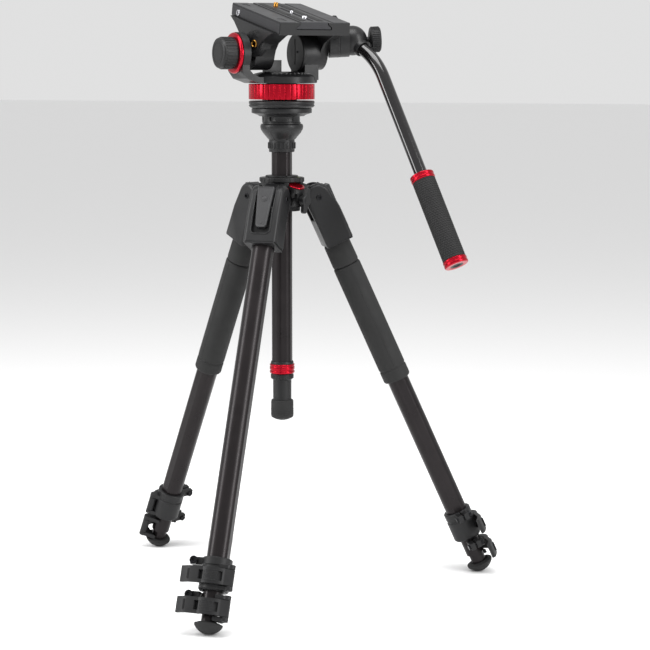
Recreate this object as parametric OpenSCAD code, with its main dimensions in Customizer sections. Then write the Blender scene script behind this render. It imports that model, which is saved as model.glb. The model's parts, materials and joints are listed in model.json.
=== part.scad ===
// Video tripod: three telescopic legs on a shoulder casting, a sliding centre column with a
// half-ball leveller, and a fluid head with a bridge, a sliding camera plate and a pan bar.
// Millimetres, +Z up, floor at z = 0, the front leg towards -Y.

/* [Layout] */
// Column axis in Y, measured from the middle of the object's box
column_y = 58.109; // [50:0.001:70]
// Column axis in X, measured from the middle of the object's box
column_x = -3.613; // [-10:0.001:10]
// Lean of each leg from the vertical, in degrees
leg_tilt = 24.42; // [20:0.01:26]
// Distance of a leg's hinge from the column axis
hinge_r = 45.5; // [44:0.5:50]
// Height of the leg hinges above the floor
hinge_z = 515; // [500:1:540]

/* [Legs] */
// Outer diameter of the upper leg tube
upper_tube_d = 28.6; // [28:0.1:30]
// Outer diameter of the middle leg tube
middle_tube_d = 24.8; // [24:0.1:25]
// Outer diameter of the lower leg tube
lower_tube_d = 20; // [18:0.1:20.2]
// Outer diameter of the rubber grip
grip_d = 37; // [35:0.5:40]
// Width of a leg casting along its hinge
casting_w = 45; // [44:0.5:47]
// Distance from the hinge to the lower end of the casting
casting_end = 65; // [60:1:70]
// Distance from the hinge to the top of the upper lock
upper_lock_at = 471; // [460:1:475]
// Distance from the hinge to the top of the lower lock
lower_lock_at = 513; // [512:1:516]
// Radius of the ball-shaped sole of a foot
sole_r = 20; // [18.5:0.5:22]

/* [Shoulder and column] */
// Outer diameter of the column tube
column_d = 27; // [26:0.1:27.5]
// Height of the lower end of the column tube
column_low = 281.5; // [270:0.5:290]
// Height of the levelling ball's centre
ball_z = 613; // [612:0.5:614]
// Radius of the levelling ball
ball_r = 25; // [24:0.1:25]

/* [Head] */
// Turn of the head about the column, in degrees
head_turn = 46.2; // [0:0.1:60]
// Height of the tilt axis
tilt_z = 703; // [700:0.5:706]
// Tilt of the camera plate, front end up, in degrees
tilt_rest = 11.5; // [0:0.5:15]
// Height of the plate's top above the tilt axis
plate_top = 54; // [54:0.5:58]
// Length of the sliding plate
plate_l = 140; // [120:1:142]
// Splay of the two rosettes, in degrees
rosette_splay = 20; // [15:1:22]

/* [Pan bar] */
// Length of the straight part of the pan bar with its grip
bar_l = 269.4; // [260:0.1:290]
// Diameter of the pan bar
bar_d = 17; // [15:0.5:18]
// Outer diameter of the bar's grip
bar_grip_d = 30; // [28:0.5:32]

/* [Hidden] */
$fn = 64;
LEG_PARTS = ["casting", "selector", "upper_tube", "upper_lock", "upper_lever",
             "middle_section", "lower_lever", "lower_tube", "foot"];
LEG_AZIMUTH = [-90, 150, 30];

BLACK = "#2b2b2d";
TUBE_BLACK = "#383435";
RUBBER = "#333333";
GREY = "#5a5a5c";
RED = "#c8102e";
BRASS = "#c98a3a";
STEEL = "#c8c8cc";

run = 0.05;          // radial clearance of a running fit
gap = 0.3;           // clearance between moving faces
wall = 1.75;         // wall of a leg tube

// Leg
pivot_r = 18;        // radius of a casting's cheeks about the hinge
lug_w = 26;          // width of a shoulder lug
cheek_w = (casting_w - lug_w) / 2 - gap;
hinge_bolt_r = 4;
block_from = 24;     // distance from the hinge to the casting's closed block
block_in = 17;       // depth of the block towards the column
block_out = 21;      // depth of the block away from the column
selector_w = 22;
tube_from = 30;      // where the upper tube starts
lock_h = 41;         // height of a lock collar
lower_lock_h = 36;
lock_r = 19;         // outer radius of a lock collar
lever_h = 20;
lever_reach = 40;    // from the leg's axis to the lever's tab
lever_drop = 14;     // from the upper collar's top to its lever
lower_lever_drop = 9.5;
lever_pin = [9, -22.5];
lever_pin_r = 2;
eye_r = 5;
foot_top = lower_lock_at + lower_lock_h + 0.5;
sole_at = (hinge_z - sole_r) / cos(leg_tilt);

// Shoulder
hub_r = 28;
hub_low = 502.6;
hub_top = 535;
lock_azimuth = -30;  // direction of the column lock, between two legs

// Column
column_r = column_d / 2;
cup_low = 574;
cup_rim = 611;
rod_r = 4;
cavity_r = 17;
washer_r = 14;

// Head
pan_top = 664;       // underside of the yoke
spigot_r = 20;
yoke_r = 43;
plate_low = 37;      // underside of the bridge's plate above the tilt axis
bed_top = 44;
plate_x0 = -42;
plate_x1 = 58;
slide_x0 = -18;
slide_x1 = 32;
slide_mid = (slide_x0 + slide_x1) / 2;
left_rosette_pos = [-50, -17.2, 15.7];
right_rosette_pos = [48, -17.2, 18.1];
rosette_rise = 7;    // upward lean of the right-hand rosette's axis
rosette_r = 17;
hub_boss_r = 21;
boss_end = 22;       // from the rosette's centre to the right-hand boss's face
axle_r = 10;
axle_end = 56.5;     // outer end of the right-hand axle

// Pan bar, in the right-hand rosette's frame: z along its axis
knuckle_at = 41;
knuckle_r = 19.5;
bend_from = 28.1;    // from the knuckle's centre to the bend
bar_bend = 29.8;     // bend in degrees
bend_r = 90;
bend_l = bend_r * bar_bend * PI / 180;
bar_spin = -62.1;    // turn of the bar about the rosette's axis, from straight down
bar_lean = 29.9;     // lean of the bar's first stretch away from square to that axis
bar_twist = 63.8;    // turn of the bend's plane about the first stretch
bar_sides = 24;
grip_from = 140.9;   // from the end of the bend to the grip

module on_column() {
    translate([column_x, column_y, 0]) children();
}

// The leg's frame: origin at its hinge, z down the leg, x outwards.
module on_leg(i) {
    on_column()
        rotate([0, 0, LEG_AZIMUTH[i - 1]])
            translate([hinge_r, 0, hinge_z])
                rotate([0, -leg_tilt, 0])
                    rotate([180, 0, 0])
                        children();
}

module on_head() {
    on_column() rotate([0, 0, head_turn]) children();
}

// The tilting frame: origin on the tilt axis, y towards the front of the plate.
module on_tilt() {
    on_head() translate([0, 0, tilt_z]) rotate([tilt_rest, 0, 0]) children();
}

// A rosette's frame: z outwards along its axis; side is -1 on the left and 1 on the right.
module on_rosette(side) {
    on_tilt()
        translate(side > 0 ? right_rosette_pos : left_rosette_pos)
            rotate([0, 0, side > 0 ? -rosette_splay : rosette_splay - 180])
                rotate([0, side > 0 ? 90 - rosette_rise : 90, 0])
                    children();
}

// The bar's frame: origin at the knuckle, z along the bar's first stretch.
module on_bar() {
    on_rosette(1)
        translate([0, 0, knuckle_at])
            rotate([0, 0, bar_spin])
                rotate([0, 90 - bar_lean, 0])
                    rotate([0, 0, bar_twist])
                        children();
}

// The bar's straight part: origin at the end of the bend, z along it.
module on_straight_bar() {
    on_bar()
        translate([0, 0, bend_from])
            translate([bend_r, 0, 0])
                rotate([0, bar_bend, 0])
                    translate([-bend_r, 0, 0])
                        children();
}

module tube(outer_r, inner_r, from, to) {
    translate([0, 0, from])
        difference() {
            cylinder(r = outer_r, h = to - from);
            translate([0, 0, -1]) cylinder(r = inner_r, h = to - from + 2);
        }
}

// A cylinder along x between two planes.
module along_x(r, from, to) {
    translate([from, 0, 0]) rotate([0, 90, 0]) cylinder(r = r, h = to - from);
}

// A cylinder along y between two planes.
module along_y(r, from, to) {
    translate([0, to, 0]) rotate([90, 0, 0]) cylinder(r = r, h = to - from);
}

// ---- Legs ----

module cheek_outline() {
    hull() {
        circle(r = pivot_r, $fn = 32);
        translate([-block_in, block_from]) square([block_in + block_out, 6]);
    }
}

module leg_casting(i) {
    color(BLACK) on_leg(i) difference() {
        union() {
            for (s = [-1, 1])
                translate([0, s * (casting_w - cheek_w) / 2 + cheek_w / 2, 0])
                    rotate([90, 0, 0])
                        linear_extrude(cheek_w)
                            cheek_outline();
            translate([-block_in, -casting_w / 2, block_from])
                cube([block_in + block_out, casting_w, casting_end - block_from]);
        }
        along_y(hinge_bolt_r + run, -casting_w, casting_w);
        translate([0, 0, tube_from])
            cylinder(r = upper_tube_d / 2 + 0.02, h = casting_end);
        translate([14.6, -selector_w / 2 - 1, -pivot_r])
            cube([block_out, selector_w + 2, pivot_r + 54]);
        translate([-block_in - 1, -lug_w / 2 - gap, block_from - 1])
            cube([block_in + 6, lug_w + 2 * gap, 6]);
    }
}

module leg_selector(i) {
    color(GREY) on_leg(i)
        translate([15, 0, 0])
            rotate([90, 0, 90])
                linear_extrude(6.5)
                    polygon([[-selector_w / 2, -9], [selector_w / 2, -9],
                             [7.5, 44], [5.5, 46], [-5.5, 46], [-7.5, 44]]);
}

module leg_upper_tube(i) {
    color(TUBE_BLACK) on_leg(i)
        tube(upper_tube_d / 2, middle_tube_d / 2 + 0.1, tube_from, upper_lock_at + 29);
}

// A lock collar with its clamp ear, lever lugs, clamp bolt and lever pin, from z = 0 down.
module lock_collar(h, drop, outer_tube_r, seat, bore_r) {
    difference() {
        union() {
            cylinder(r = lock_r, h = h);
            translate([-8, 10, 0.5]) cube([16, 23, 9.5]);
            for (z = [drop - 6, drop + lever_h + gap])
                hull() {
                    translate([lever_pin[0], lever_pin[1], z])
                        cylinder(r = eye_r, h = 5.7, $fn = 32);
                    translate([0, -10, z]) cylinder(r = 8, h = 5.7, $fn = 32);
                }
        }
        translate([0, 0, -1]) cylinder(r = outer_tube_r, h = seat + 1);
        translate([0, 0, -1]) cylinder(r = bore_r, h = h + 2);
        translate([0, 27.5, 5.2]) along_x(2.52, -9, 9);
        translate([lever_pin[0], lever_pin[1], -1]) cylinder(r = lever_pin_r + 0.02, h = h + 2);
    }
    translate([0, 27.5, 5.2]) {
        along_x(2.5, -9, 8.02);
        along_x(5.2, 8.02, 12);
    }
    translate([lever_pin[0], lever_pin[1], drop - 5.5])
        cylinder(r = lever_pin_r, h = lever_h + 11);
}

// A lock lever in its collar's frame.
module lock_lever(drop) {
    translate([0, 0, drop + 0.1]) difference() {
        union() {
            linear_extrude(lever_h - 0.2) difference() {
                circle(r = lock_r + 6);
                circle(r = lock_r + 0.6);
                translate([-50, -50]) square([62, 100]);
                translate([0, 12]) square([50, 50]);
            }
            linear_extrude(lever_h - 0.2) hull() {
                translate([20.9, 12]) circle(r = 2.4, $fn = 32);
                translate([21, 24]) circle(r = 2.4, $fn = 32);
            }
            linear_extrude(lever_h - 0.2) hull() {
                translate([21, 24]) circle(r = 2.4, $fn = 32);
                translate([14.5, lever_reach - 2.5]) circle(r = 2.4, $fn = 32);
            }
            translate([lever_pin[0], lever_pin[1], 0]) cylinder(r = eye_r, h = lever_h - 0.2);
        }
        translate([lever_pin[0], lever_pin[1], -1])
            cylinder(r = lever_pin_r + run, h = lever_h + 2);
    }
}

module leg_upper_lock(i) {
    color(BLACK) on_leg(i) translate([0, 0, upper_lock_at])
        lock_collar(lock_h, lever_drop, upper_tube_d / 2 + 0.02, 29, middle_tube_d / 2 + 0.1);
}

module leg_upper_lever(i) {
    color(BLACK) on_leg(i) translate([0, 0, upper_lock_at]) lock_lever(lever_drop);
}

module leg_middle_section(i) {
    color(BLACK) on_leg(i) {
        tube(middle_tube_d / 2, lower_tube_d / 2 + 0.1, 66, lower_lock_at + 24);
        translate([0, 0, lower_lock_at])
            lock_collar(lower_lock_h, lower_lever_drop, middle_tube_d / 2 + 0.02, 24,
                        lower_tube_d / 2 + 0.1);
    }
}

module leg_lower_lever(i) {
    color(BLACK) on_leg(i) translate([0, 0, lower_lock_at]) lock_lever(lower_lever_drop);
}

module leg_lower_tube(i) {
    color(TUBE_BLACK) on_leg(i)
        tube(lower_tube_d / 2, lower_tube_d / 2 - wall, 76, foot_top + 5);
}

module leg_foot(i) {
    color(RUBBER) on_leg(i) difference() {
        union() {
            translate([0, 0, foot_top]) cylinder(r = 14.5, h = 3);
            intersection() {
                translate([0, 0, sole_at]) sphere(r = sole_r);
                translate([0, 0, foot_top + 2]) cylinder(r = 18, h = 30);
            }
        }
        translate([0, 0, foot_top - 1]) cylinder(r = lower_tube_d / 2 + 0.02, h = 6.02);
    }
}

module leg_grip(i) {
    color(RUBBER) on_leg(i) {
        tube(grip_d / 2 - 0.4, upper_tube_d / 2 + 0.02, 72, 100);
        tube(grip_d / 2, upper_tube_d / 2 + 0.02, 100.2, 270);
    }
}

// ---- Shoulder ----

module shoulder_lug() {
    translate([hinge_r, lug_w / 2, hinge_z])
        rotate([90, 0, 0])
            linear_extrude(lug_w)
                hull() {
                    circle(r = 11.5, $fn = 32);
                    translate([-22, -11]) square([1, 30]);
                }
}

module shoulder_casting() {
    color(BLACK) on_column() difference() {
        union() {
            translate([0, 0, hub_low]) cylinder(r = hub_r, h = hub_top - hub_low);
            translate([0, 0, 497]) cylinder(r = 24, h = 10);
            for (a = LEG_AZIMUTH) rotate([0, 0, a]) shoulder_lug();
            rotate([0, 0, lock_azimuth]) {
                translate([20, -8, 504]) cube([20, 16, 17]);
                translate([29, 0, 530]) rotate([0, 21, 0])
                    translate([0, 0, -12]) cylinder(r = 12.5, h = 12);
            }
        }
        translate([0, 0, 490]) cylinder(r = 15.02, h = 60);
        for (a = LEG_AZIMUTH)
            rotate([0, 0, a])
                translate([hinge_r, 0, hinge_z])
                    along_y(hinge_bolt_r + 0.02, -20, 20);
        rotate([0, 0, lock_azimuth]) {
            translate([0, 0, 512]) along_x(3 + run, 10, 45);
            translate([29, 0, 530]) rotate([0, 21, 0]) {
                translate([0, 0, -5]) cylinder(r = 9.5, h = 10);
                translate([0, 0, -0.3]) cylinder(r = 11, h = 10);
            }
        }
    }
}

module column_bushing() {
    color(BLACK) on_column() difference() {
        union() {
            translate([0, 0, 498]) cylinder(r = 15, h = 45.5);
            translate([0, 0, 541.3]) cylinder(r = 21.5, h = 2.2);
        }
        translate([0, 0, 490]) cylinder(r = column_r + run, h = 60);
        rotate([0, 0, lock_azimuth]) translate([0, 0, 512]) along_x(3.6, 10, 20);
    }
}

module hinge_bolts() {
    color(STEEL) on_column()
        for (a = LEG_AZIMUTH)
            rotate([0, 0, a])
                translate([hinge_r, 0, hinge_z])
                    along_y(hinge_bolt_r, -casting_w / 2 - 1, casting_w / 2 + 1);
}

module socket_cover() {
    color(RED) on_column() rotate([0, 0, lock_azimuth])
        translate([29, 0, 530]) rotate([0, 21, 0])
            translate([0, 0, -5]) {
                cylinder(r = 9.48, h = 5.02);
                translate([0, 0, 5.02]) cylinder(r = 10.6, h = 1.5);
            }
}

module column_lock_knob() {
    color(BLACK) on_column() rotate([0, 0, lock_azimuth]) translate([0, 0, 512]) {
        along_x(3, 14.5, 42);
        along_x(7, 40.5, 49);
        rotate([13, 0, 0]) translate([44, 0, 0]) rotate([0, 90, 0]) linear_extrude(6)
            offset(r = 3) square([28, 1], center = true);
    }
}

module level_ring() {
    color(BLACK) on_column() rotate([0, 0, lock_azimuth + 20]) difference() {
        union() {
            translate([0, 0, hub_top + gap]) cylinder(r = 29, h = 5.7);
            translate([26, 0, hub_top + gap]) cylinder(r = 6.5, h = 5.7);
        }
        translate([0, 0, hub_top]) cylinder(r = 15.3, h = 10);
        translate([26, 0, hub_top + 2]) cylinder(r = 4.52, h = 10);
    }
}

module level_vial() {
    color("#c9d96b") on_column() rotate([0, 0, lock_azimuth + 20])
        translate([26, 0, hub_top + 2]) cylinder(r = 4.5, h = 4.2);
}

// ---- Column ----

module column_tube() {
    color(TUBE_BLACK) on_column() tube(column_r, column_r - 2.5, column_low, cup_low + 14);
}

module column_end_ring() {
    color(RED) on_column() {
        tube(16.4, column_r + 0.02, column_low, column_low + 12.5);
    }
}

module ball_cup() {
    color(BLACK) on_column() difference() {
        union() {
            translate([0, 0, cup_low]) cylinder(r = 16.85, h = 17);
            translate([0, 0, cup_low + 4]) cylinder(r = 17.9, h = 8);
            translate([0, 0, 590.7]) cylinder(r1 = 17, r2 = 28.2, h = 16.3);
            translate([0, 0, 607]) cylinder(r1 = 28.2, r2 = 26.4, h = cup_rim - 607);
        }
        translate([0, 0, cup_low - 1]) cylinder(r = column_r + 0.02, h = 15);
        translate([0, 0, cup_low]) cylinder(r = rod_r + run, h = 30);
        translate([0, 0, ball_z]) sphere(r = ball_r + gap);
    }
}

module levelling_handle() {
    color(BLACK) on_column() {
        translate([0, 0, 273.6]) cylinder(r = 14.75, h = column_low - gap - 273.6);
        translate([0, 0, 240]) cylinder(r = 12.15, h = 33.6);
        translate([0, 0, 280]) cylinder(r = rod_r, h = ball_z - 10 - 280);
        intersection() {
            translate([0, 0, ball_z]) sphere(r = washer_r - gap);
            translate([0, 0, ball_z - 14]) cylinder(r = 12, h = 7);
        }
    }
}

module handle_cap() {
    color(RUBBER) on_column() difference() {
        union() {
            translate([0, 0, 223]) cylinder(r = 14.8, h = 23);
            translate([0, 0, 223]) intersection() {
                translate([0, 0, 21]) sphere(r = 25.6);
                translate([0, 0, -6]) cylinder(r = 14.8, h = 8);
            }
        }
        translate([0, 0, 240]) cylinder(r = 12.17, h = 10);
    }
}

// ---- Levelling ball and pan ----

module ball_washer() {
    color(BRASS) on_column() translate([0, 0, ball_z]) difference() {
        intersection() {
            sphere(r = cavity_r - gap);
            translate([0, 0, -17]) cylinder(r = 14, h = 9);
        }
        sphere(r = washer_r);
        translate([0, 0, -20]) cylinder(r = 8, h = 20);
    }
}

module half_ball() {
    color(BLACK) on_column() difference() {
        union() {
            intersection() {
                translate([0, 0, ball_z]) sphere(r = ball_r);
                translate([0, 0, ball_z - 22]) cylinder(r = 30, h = 22);
            }
            translate([0, 0, ball_z]) cylinder(r = 24, h = 8);
            translate([0, 0, 621]) cylinder(r1 = 30, r2 = 39.5, h = 4);
            translate([0, 0, 625]) cylinder(r = 39.5, h = 7);
        }
        translate([0, 0, ball_z]) sphere(r = cavity_r);
        translate([0, 0, ball_z - 30]) cylinder(r = 11, h = 30);
    }
}

module pan_base() {
    color(BLACK) on_head() difference() {
        union() {
            translate([0, 0, 632]) cylinder(r = yoke_r, h = 9);
            translate([0, 0, 641]) cylinder(r = spigot_r, h = 27);
        }
        translate([0, 31, 636.5]) along_y(3 + run, 0, 20);
    }
}

module pan_drag_ring() {
    color(RED) on_head() tube(43.25, spigot_r + gap, 643, pan_top - 1);
}

// ---- Yoke ----

module yoke_left_arm() {
    translate([0, 22, 0]) rotate([90, 0, 0]) linear_extrude(44)
        polygon([[-28, pan_top], [-43, pan_top], [-60, 670], [-67, 680], [-67, 703],
                 [-57, 703], [-57, 682], [-52, 676], [-43, 672], [-28, 672]]);
    translate([0, 0, tilt_z]) along_x(27, -67, -57);
}

module yoke_right_arm() {
    difference() {
        translate([0, 15, 0]) rotate([90, 0, 0]) linear_extrude(30)
            polygon([[24, pan_top], [43, pan_top], [62, 675], [62, 690], [24, 690]]);
        translate([0, 0, tilt_z]) along_x(28.8, 44.4, 70);
    }
    translate([24, -20, 668]) cube([20, 40, 20]);
    translate([0, 0, tilt_z]) along_x(25, 22, 44.4);
}

module yoke() {
    color(BLACK) on_head() difference() {
        union() {
            translate([0, 0, pan_top]) cylinder(r = yoke_r, h = 8);
            yoke_left_arm();
            yoke_right_arm();
            translate([-18, 8, 668]) cube([22, 12, 26]);
        }
        translate([0, 0, pan_top - 1]) cylinder(r = spigot_r + run, h = 5.3);
        translate([0, 0, tilt_z]) along_x(axle_r + run, -70, 50);
        translate([34, 10, 684]) along_y(3 + run, 0, 20);
    }
}

// A clamp lever along y: a screw, a boss and an arm turned from +x towards -z.
module clamp_lever(turn) {
    along_y(3, 0, 12);
    along_y(6, 10.5, 18);
    rotate([0, turn, 0]) translate([0, 13, 0]) hull() {
        along_y(5, 0, 4.5);
        translate([24, 0, 0]) along_y(4, 1, 4.5);
    }
}

module pan_lock_lever() {
    color(BLACK) on_head() translate([0, 33, 636.5]) clamp_lever(90);
}

module tilt_lock_lever() {
    color(BLACK) on_head() translate([34, 12.5, 684]) clamp_lever(-90);
}

module tilt_drag_knob() {
    color(BLACK) on_head() translate([0, 0, tilt_z]) along_x(21, -92, -71.5);
}

module tilt_drag_ring() {
    color(RED) on_head() translate([0, 0, tilt_z]) along_x(26.5, -71.5, -67.3);
}

// ---- Bridge ----

module gusset_outline() {
    polygon([[-63, plate_low + 1], [-50, 32], [-30.5, 19], [-24, 8.5], [-22, 0],
             [22, 0], [24, 8.5], [30.5, 19], [50, 32], [63, plate_low + 1]]);
    circle(r = 22);
}

// A cheek between two planes across the tilt axis.
module cheek(from, to) {
    translate([from, 0, 0]) rotate([90, 0, 90]) linear_extrude(to - from) gusset_outline();
}

module slide_outline(grow) {
    translate([slide_mid, 0]) polygon([
        [-25 - grow, bed_top], [25 + grow, bed_top], [25 + grow, 47 + grow],
        [20 + grow, 50.5 + grow], [20 + grow, 60], [-20 - grow, 60],
        [-20 - grow, 50.5 + grow], [-25 - grow, 47 + grow]]);
}

module bridge() {
    color(BLACK) difference() {
        union() {
            on_tilt() difference() {
                union() {
                    translate([plate_x0, -71, plate_low]) cube([plate_x1 - plate_x0, 142, 16]);
                    cheek(-48, -21);
                    cheek(45, 57);
                }
                translate([0, 80, 0]) rotate([90, 0, 0]) linear_extrude(160) slide_outline(gap);
                along_x(axle_r + 0.02, -60, 70);
                translate([54, -23, 45.5]) along_x(3 + run, -8, 10);
            }
            difference() {
                on_rosette(-1) translate([0, 0, -14]) cylinder(r = rosette_r, h = 14);
                on_tilt() along_x(30, -40, 40);
            }
            on_rosette(1) translate([0, 0, 9]) cylinder(r = hub_boss_r, h = boss_end - 9);
        }
        on_tilt() along_x(axle_r + 0.02, -66, axle_end + 0.02);
        on_tilt() translate([58, -23, 45.5]) along_x(9.6, 0, 16);
        on_rosette(-1) translate([0, 0, -12.02]) cylinder(r = 5.02, h = 20);
        on_rosette(1) translate([0, 0, 5]) cylinder(r = 4.52, h = 40);
    }
}

module tilt_axles() {
    color(STEEL) on_tilt() {
        along_x(axle_r, -65, -24);
        along_x(axle_r, 23, axle_end);
    }
}

module rosette_insert() {
    color(BRASS) on_rosette(-1) difference() {
        translate([0, 0, -12]) cylinder(r = 5, h = 12.5);
        translate([0, 0, -10.5]) cylinder(r = 3, h = 20);
    }
}

module sliding_plate() {
    color(GREY) on_tilt() difference() {
        intersection() {
            translate([0, plate_l / 2, 0]) rotate([90, 0, 0])
                linear_extrude(plate_l) slide_outline(0);
            translate([-50, -80, bed_top + gap]) cube([150, 160, plate_top - bed_top - gap]);
        }
        translate([slide_mid, 42, bed_top]) cylinder(r = 3.22, h = 20);
        translate([slide_mid, 42, bed_top]) cylinder(r = 7.5, h = 5);
    }
}

module camera_screw() {
    color(BRASS) on_tilt() {
        translate([slide_mid, 42, 0]) {
            translate([0, 0, bed_top + 0.4]) cylinder(r = 7.4, h = 3.5);
            translate([0, 0, bed_top + 3]) cylinder(r = 3, h = 9);
            translate([0, 0, plate_top + 0.3]) cylinder(r = 3.175, h = 5.2);
        }
        translate([slide_mid, -4, plate_top]) cylinder(r = 2.2, h = 3);
        translate([slide_mid, -41, plate_top]) cylinder(r = 3.4, h = 3);
    }
}

module plate_knob() {
    color(BLACK) on_tilt() translate([54, -23, 45.5]) {
        along_x(3, 0, 6);
        along_x(9, 4.5, 9);
    }
}

// ---- Pan bar ----

module bar_clamp() {
    color(BLACK) difference() {
        union() {
            on_rosette(1) translate([0, 0, boss_end + gap]) cylinder(r = hub_boss_r, h = 13);
            on_rosette(1) translate([0, 0, knuckle_at]) sphere(r = knuckle_r);
            on_bar() cylinder(r = 11, h = 21);
        }
        on_bar() translate([0, 0, 10.4]) cylinder(r = bar_d / 2 + 0.02, h = 30);
        on_rosette(1) cylinder(r = 4 + run, h = 80);
    }
}

// Turn of the bar's centre line, and its place, at a distance s from the knuckle's centre.
function bar_turn(s) = bar_bend * max(0, min(1, (s - bend_from) / bend_l));
function bar_centre(s) =
    let (a = bar_turn(s), past = max(0, s - bend_from - bend_l))
    s <= bend_from ? [0, 0, s]
    : [bend_r * (1 - cos(a)) + past * sin(a), 0, bend_from + bend_r * sin(a) + past * cos(a)];
function bar_ring(s) =
    let (a = bar_turn(s))
    [for (j = [0 : bar_sides - 1]) let (u = j * 360 / bar_sides)
        bar_centre(s) + bar_d / 2 * [cos(u) * cos(a), sin(u), -cos(u) * sin(a)]];

module pan_bar() {
    stations = concat([10.5], [for (k = [0 : 8]) bend_from + bend_l * k / 8],
                      [bend_from + bend_l + bar_l - 9.1]);
    last = len(stations) - 1;
    color(BLACK) on_bar() polyhedron(
        points = [for (s = stations) each bar_ring(s)],
        faces = concat(
            [[for (j = [0 : bar_sides - 1]) j]],
            [for (k = [0 : last - 1]) for (j = [0 : bar_sides - 1])
                let (n = (j + 1) % bar_sides, a = k * bar_sides, b = a + bar_sides)
                [a + j, b + j, b + n, a + n]],
            [[for (j = [bar_sides - 1 : -1 : 0]) last * bar_sides + j]]));
}

module bar_grip() {
    color(RED) on_straight_bar() {
        tube(bar_grip_d / 2 + 0.8, bar_d / 2 + 0.02, grip_from, grip_from + 9);
        translate([0, 0, bar_l - 9]) cylinder(r = bar_grip_d / 2 + 0.8, h = 9);
    }
    color(RUBBER) on_straight_bar()
        tube(bar_grip_d / 2, bar_d / 2 + 0.02, grip_from + 9.02, bar_l - 9.02);
}

module bar_knob() {
    color(BLACK) on_rosette(1) {
        translate([0, 0, 12]) cylinder(r = 4, h = 52);
        translate([0, 0, 63]) cylinder(r = 17, h = 15);
    }
}

for (i = [1 : 3]) {
    leg_casting(i);
    leg_selector(i);
    leg_upper_tube(i);
    leg_upper_lock(i);
    leg_upper_lever(i);
    leg_middle_section(i);
    leg_lower_lever(i);
    leg_lower_tube(i);
    leg_foot(i);
}
leg_grip(2);  // leg_2_grip
leg_grip(3);  // leg_3_grip
shoulder_casting();
column_bushing();
hinge_bolts();
socket_cover();
column_lock_knob();
level_ring();
level_vial();
column_tube();
ball_cup();
column_end_ring();
levelling_handle();
handle_cap();
ball_washer();
half_ball();
pan_base();
pan_drag_ring();
yoke();
pan_lock_lever();
tilt_lock_lever();
tilt_drag_knob();
tilt_drag_ring();
bridge();
tilt_axles();
rosette_insert();
sliding_plate();
camera_screw();
plate_knob();
bar_clamp();
pan_bar();
bar_grip();
bar_knob();
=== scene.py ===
"""Looks of a folding video tripod: three telescopic legs, a centre column, a fluid head and a pan bar."""

import json
import logging
import math
from collections.abc import Callable, Iterable, Sequence
from dataclasses import dataclass
from enum import Enum

import bmesh
import bpy
from mathutils import Matrix, Vector


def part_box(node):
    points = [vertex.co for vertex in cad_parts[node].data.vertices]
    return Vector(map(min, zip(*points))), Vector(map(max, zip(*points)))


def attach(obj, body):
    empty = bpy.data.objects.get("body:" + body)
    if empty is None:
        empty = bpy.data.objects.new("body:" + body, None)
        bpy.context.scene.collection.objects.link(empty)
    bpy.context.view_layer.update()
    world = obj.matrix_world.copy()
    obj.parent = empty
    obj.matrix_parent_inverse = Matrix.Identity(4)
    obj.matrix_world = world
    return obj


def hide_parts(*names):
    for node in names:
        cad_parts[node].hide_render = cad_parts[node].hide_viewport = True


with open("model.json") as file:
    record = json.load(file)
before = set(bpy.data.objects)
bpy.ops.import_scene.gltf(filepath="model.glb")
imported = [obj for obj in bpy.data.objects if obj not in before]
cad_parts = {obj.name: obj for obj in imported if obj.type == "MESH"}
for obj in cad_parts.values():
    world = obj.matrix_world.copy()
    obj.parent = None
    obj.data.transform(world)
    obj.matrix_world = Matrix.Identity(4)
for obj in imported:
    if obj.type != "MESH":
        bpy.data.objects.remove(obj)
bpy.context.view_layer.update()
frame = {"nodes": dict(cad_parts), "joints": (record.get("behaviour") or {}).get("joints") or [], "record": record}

MM = 0.001
SMOOTH_ANGLE = math.radians(48)
PLANAR_ANGLE = math.radians(1.5)
Point2 = tuple[float, float]
log = logging.getLogger("tripod")


# ---- Finishes ----


def linear(hex_colour: str) -> tuple[float, float, float, float]:
    """Turns an sRGB hex colour into a linear colour.

    Args:
        hex_colour: Six hex digits after a number sign.

    Returns:
        Linear red, green and blue with a full alpha.
    """
    parts = [int(hex_colour[i : i + 2], 16) / 255 for i in (1, 3, 5)]
    red, green, blue = (p / 12.92 if p <= 0.04045 else ((p + 0.055) / 1.055) ** 2.4 for p in parts)
    return red, green, blue, 1.0


def add_node(
    tree: bpy.types.NodeTree, kind: str, inputs: dict | None = None, settings: dict | None = None
) -> bpy.types.Node:
    """Adds a shader node with its settings and links.

    Args:
        tree: The node tree.
        kind: The node's type.
        inputs: For each input, by name or number, a value or the output socket that feeds it.
        settings: Properties of the node itself.

    Returns:
        The new node.
    """
    node = tree.nodes.new(kind)
    for key, value in (settings or {}).items():
        setattr(node, key, value)
    for key, value in (inputs or {}).items():
        if isinstance(value, bpy.types.NodeSocket):
            tree.links.new(value, node.inputs[key])
        else:
            node.inputs[key].default_value = value
    return node


class Surface(Enum):
    """How a surface was made, which sets the pattern of its bump."""

    CAST = "cast"
    MOULDED = "moulded"
    TURNED = "turned"
    DRAWN = "drawn"
    POLISHED = "polished"


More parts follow.
